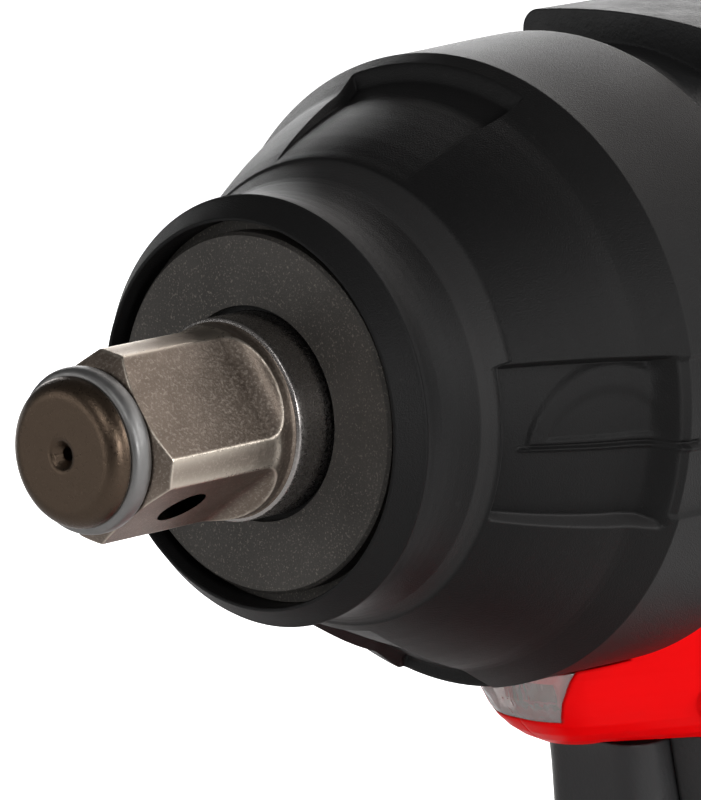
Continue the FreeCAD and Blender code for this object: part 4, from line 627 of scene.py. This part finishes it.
MATERIALS = {
    "anvil_steel": anvil_material(),
    "ring_steel": metal("ring_grey", (0.30, 0.295, 0.29), 0.46, 900.0, 0.00002, 0.16),
    "case_metal": nose_material(),
    "dark_steel": metal("dark_steel", (0.23, 0.23, 0.235), 0.38, 1400.0, 0.00002, 0.2, None, 0.0003),
    "bright_steel": metal("bright_steel", (0.62, 0.62, 0.64), 0.25, 1200.0, 0.00001, 0.16, None, 0.0002),
    "bronze": metal("bush_bronze", (0.48, 0.30, 0.13), 0.42, 1800.0, 0.00003, 0.2, None, 0.0003),
    "boot_rubber": boot_material(),
    "grip_rubber": moulded("grip_rubber", (0.012, 0.012, 0.0125), 0.52, 1500.0, 0.0001, 0.12, 0.0006),
    "red_plastic": moulded("housing_red", (0.95, 0.0008, 0.002), 0.36, 1700.0, 0.00002, 0.1, 0.0007,
                           0.95, 0.06),
    "black_plastic": moulded("black_plastic", (0.014, 0.014, 0.015), 0.42, 1900.0, 0.00006, 0.14, 0.0006),
    "dark_plastic": moulded("dark_plastic", (0.045, 0.045, 0.048), 0.40, 1900.0, 0.00004, 0.14, 0.0004),
    "clear_plastic": lens_material(),
    "gear_case_metal": metal("cast_aluminium", (0.42, 0.42, 0.43), 0.48, 700.0, 0.00008, 0.2, None, 0.0004),
    "copper": metal("winding_copper", (0.55, 0.22, 0.09), 0.32, 1400.0, 0.00012, 0.2, (1.0, 6.0, 6.0),
                    0.0003),
    "board": moulded("circuit_board", (0.02, 0.13, 0.05), 0.35, 900.0, 0.00006, 0.2, 0.0002),
    "cell_metal": moulded("cell_sleeve", (0.05, 0.14, 0.20), 0.33, 900.0, 0.00003, 0.14, 0.0005),
    "nickel": metal("nickel_strip", (0.58, 0.55, 0.48), 0.30, 1500.0, 0.00002, 0.2, None, 0.0001),
    "brass": metal("brass_insert", (0.62, 0.42, 0.14), 0.30, 1200.0, 0.00002, 0.2, None, 0.0002),
    "white_plastic": moulded("white_plastic", (0.58, 0.58, 0.55), 0.45, 1400.0, 0.00004, 0.14, 0.0004),
}
slot_of = {entry["node"]: entry["material_slot"] for entry in frame["record"]["subparts"]}
for node_name, thing in nodes.items():
    material = MATERIALS[slot_of[node_name]]
    if thing.material_slots:
        for slot in thing.material_slots:
            slot.material = material
    else:
        thing.data.materials.append(material)
for thing, key in ((anvil_piece, "anvil_steel"), (ring_piece, "ring_steel"), (boot_piece, "boot_rubber")):
    thing.data.materials.clear()
    thing.data.materials.append(MATERIALS[key])


# ------------------------------------------------------------------ floor, light, camera
def floor_material():
    """A pale sweep that glows softly away from the tool, like a lit studio backdrop."""
    material, tree, shader, coords = tree_of("pale_floor")
    slow = noise(tree, coords, 3.0, 3.0)
    tree.links.new(mix_color(tree, ramp(tree, slow.outputs["Fac"], 0.3, 0.7, 0.0, 1.0), (0.86, 0.86, 0.86),
                             (0.90, 0.90, 0.90)), shader.inputs["Base Color"])
    shader.inputs["Roughness"].default_value = 0.85
    shader.inputs["Emission Color"].default_value = (1, 1, 1, 1)
    behind = tree.nodes.new("ShaderNodeVectorMath")
    behind.operation = "DOT_PRODUCT"
    behind.inputs[1].default_value = (-0.95, -0.30, 0.0)
    tree.links.new(coords.outputs["Object"], behind.inputs[0])
    glow = ramp(tree, behind.outputs["Value"], 0.18, 0.50, 0.0, 1.2)
    tree.links.new(glow, shader.inputs["Emission Strength"])
    return material


floor_mesh = bpy.data.meshes.new("floor")
floor_mesh.from_pydata([(-8, -8, 0), (8, -8, 0), (8, 8, 0), (-8, 8, 0)], [], [(0, 1, 2, 3)])
floor = bpy.data.objects.new("floor", floor_mesh)
bpy.context.scene.collection.objects.link(floor)
floor_mesh.materials.append(floor_material())

world = bpy.data.worlds.new("studio")
bpy.context.scene.world = world
world.use_nodes = True
world.node_tree.nodes["Background"].inputs["Color"].default_value = (1.0, 1.0, 1.0, 1.0)
world.node_tree.nodes["Background"].inputs["Strength"].default_value = 0.10


def area_light(name, where, target, size, size_y, power, color):
    light = bpy.data.lights.new(name, "AREA")
    light.shape = "RECTANGLE"
    light.size, light.size_y = size, size_y
    light.energy = power
    light.color = color
    thing = bpy.data.objects.new(name, light)
    bpy.context.scene.collection.objects.link(thing)
    thing.location = where
    thing.rotation_mode = "QUATERNION"
    thing.rotation_quaternion = (Vector(target) - Vector(where)).to_track_quat("-Z", "Y")
    return thing


nose_centre = Vector((NOSE * MM, 0, AXIS * MM))
WHITE, WARM = (1, 1, 1), (1.0, 0.955, 0.93)
NOSE_AIM, CHIN_AIM = (0, 0, 0), (-0.05, 0, -0.03)
# name, place and aim from the nose face in metres, width, height, watts, colour
for name, place, aim, width, height, watts, color in (
        ("top_softbox", (-0.78, -0.05, 0.58), NOSE_AIM, 1.1, 0.36, 2.6, WARM),
        ("back_softbox", (-1.15, -0.85, 0.30), NOSE_AIM, 1.4, 0.5, 7.4, WHITE),
        ("right_back", (-0.6, 0.9, 0.45), NOSE_AIM, 0.4, 0.4, 3.9, WHITE),
        ("key_left", (0.78, -0.75, 0.12), NOSE_AIM, 0.35, 0.5, 0.9, WHITE),
        ("key_front", (0.35, 0.95, 0.22), CHIN_AIM, 0.3, 0.3, 3.9, WHITE),
        ("front_up", (0.9, 0.3, 0.7), NOSE_AIM, 0.4, 0.4, 2.2, WHITE),
        ("front_low", (1.0, -0.35, 0.0), NOSE_AIM, 0.3, 0.4, 0.8, WHITE),
        ("right_side", (-0.3, 1.1, 0.15), NOSE_AIM, 0.4, 0.4, 1.0, WHITE)):
    area_light(name, nose_centre + Vector(place), nose_centre + Vector(aim), width, height, watts, color)

camera_data = bpy.data.cameras.new("camera")
camera = bpy.data.objects.new("camera", camera_data)
bpy.context.scene.collection.objects.link(camera)
bpy.context.scene.camera = camera
camera_data.sensor_fit = "AUTO"
camera_data.sensor_width = 36.0
camera_data.lens = 302.346
camera_data.clip_start, camera_data.clip_end = 0.05, 50.0
camera.location = nose_centre + Vector((577.66, 541.54, 162.09)) * MM
right, up = Vector((-0.67312, 0.73953, 0.0)), Vector((-0.14684, -0.13365, 0.98009))
back = right.cross(up)
camera.rotation_mode = "QUATERNION"
camera.rotation_quaternion = Matrix((right, up, back)).transposed().to_quaternion()
bpy.context.scene.view_settings.view_transform = "Standard"
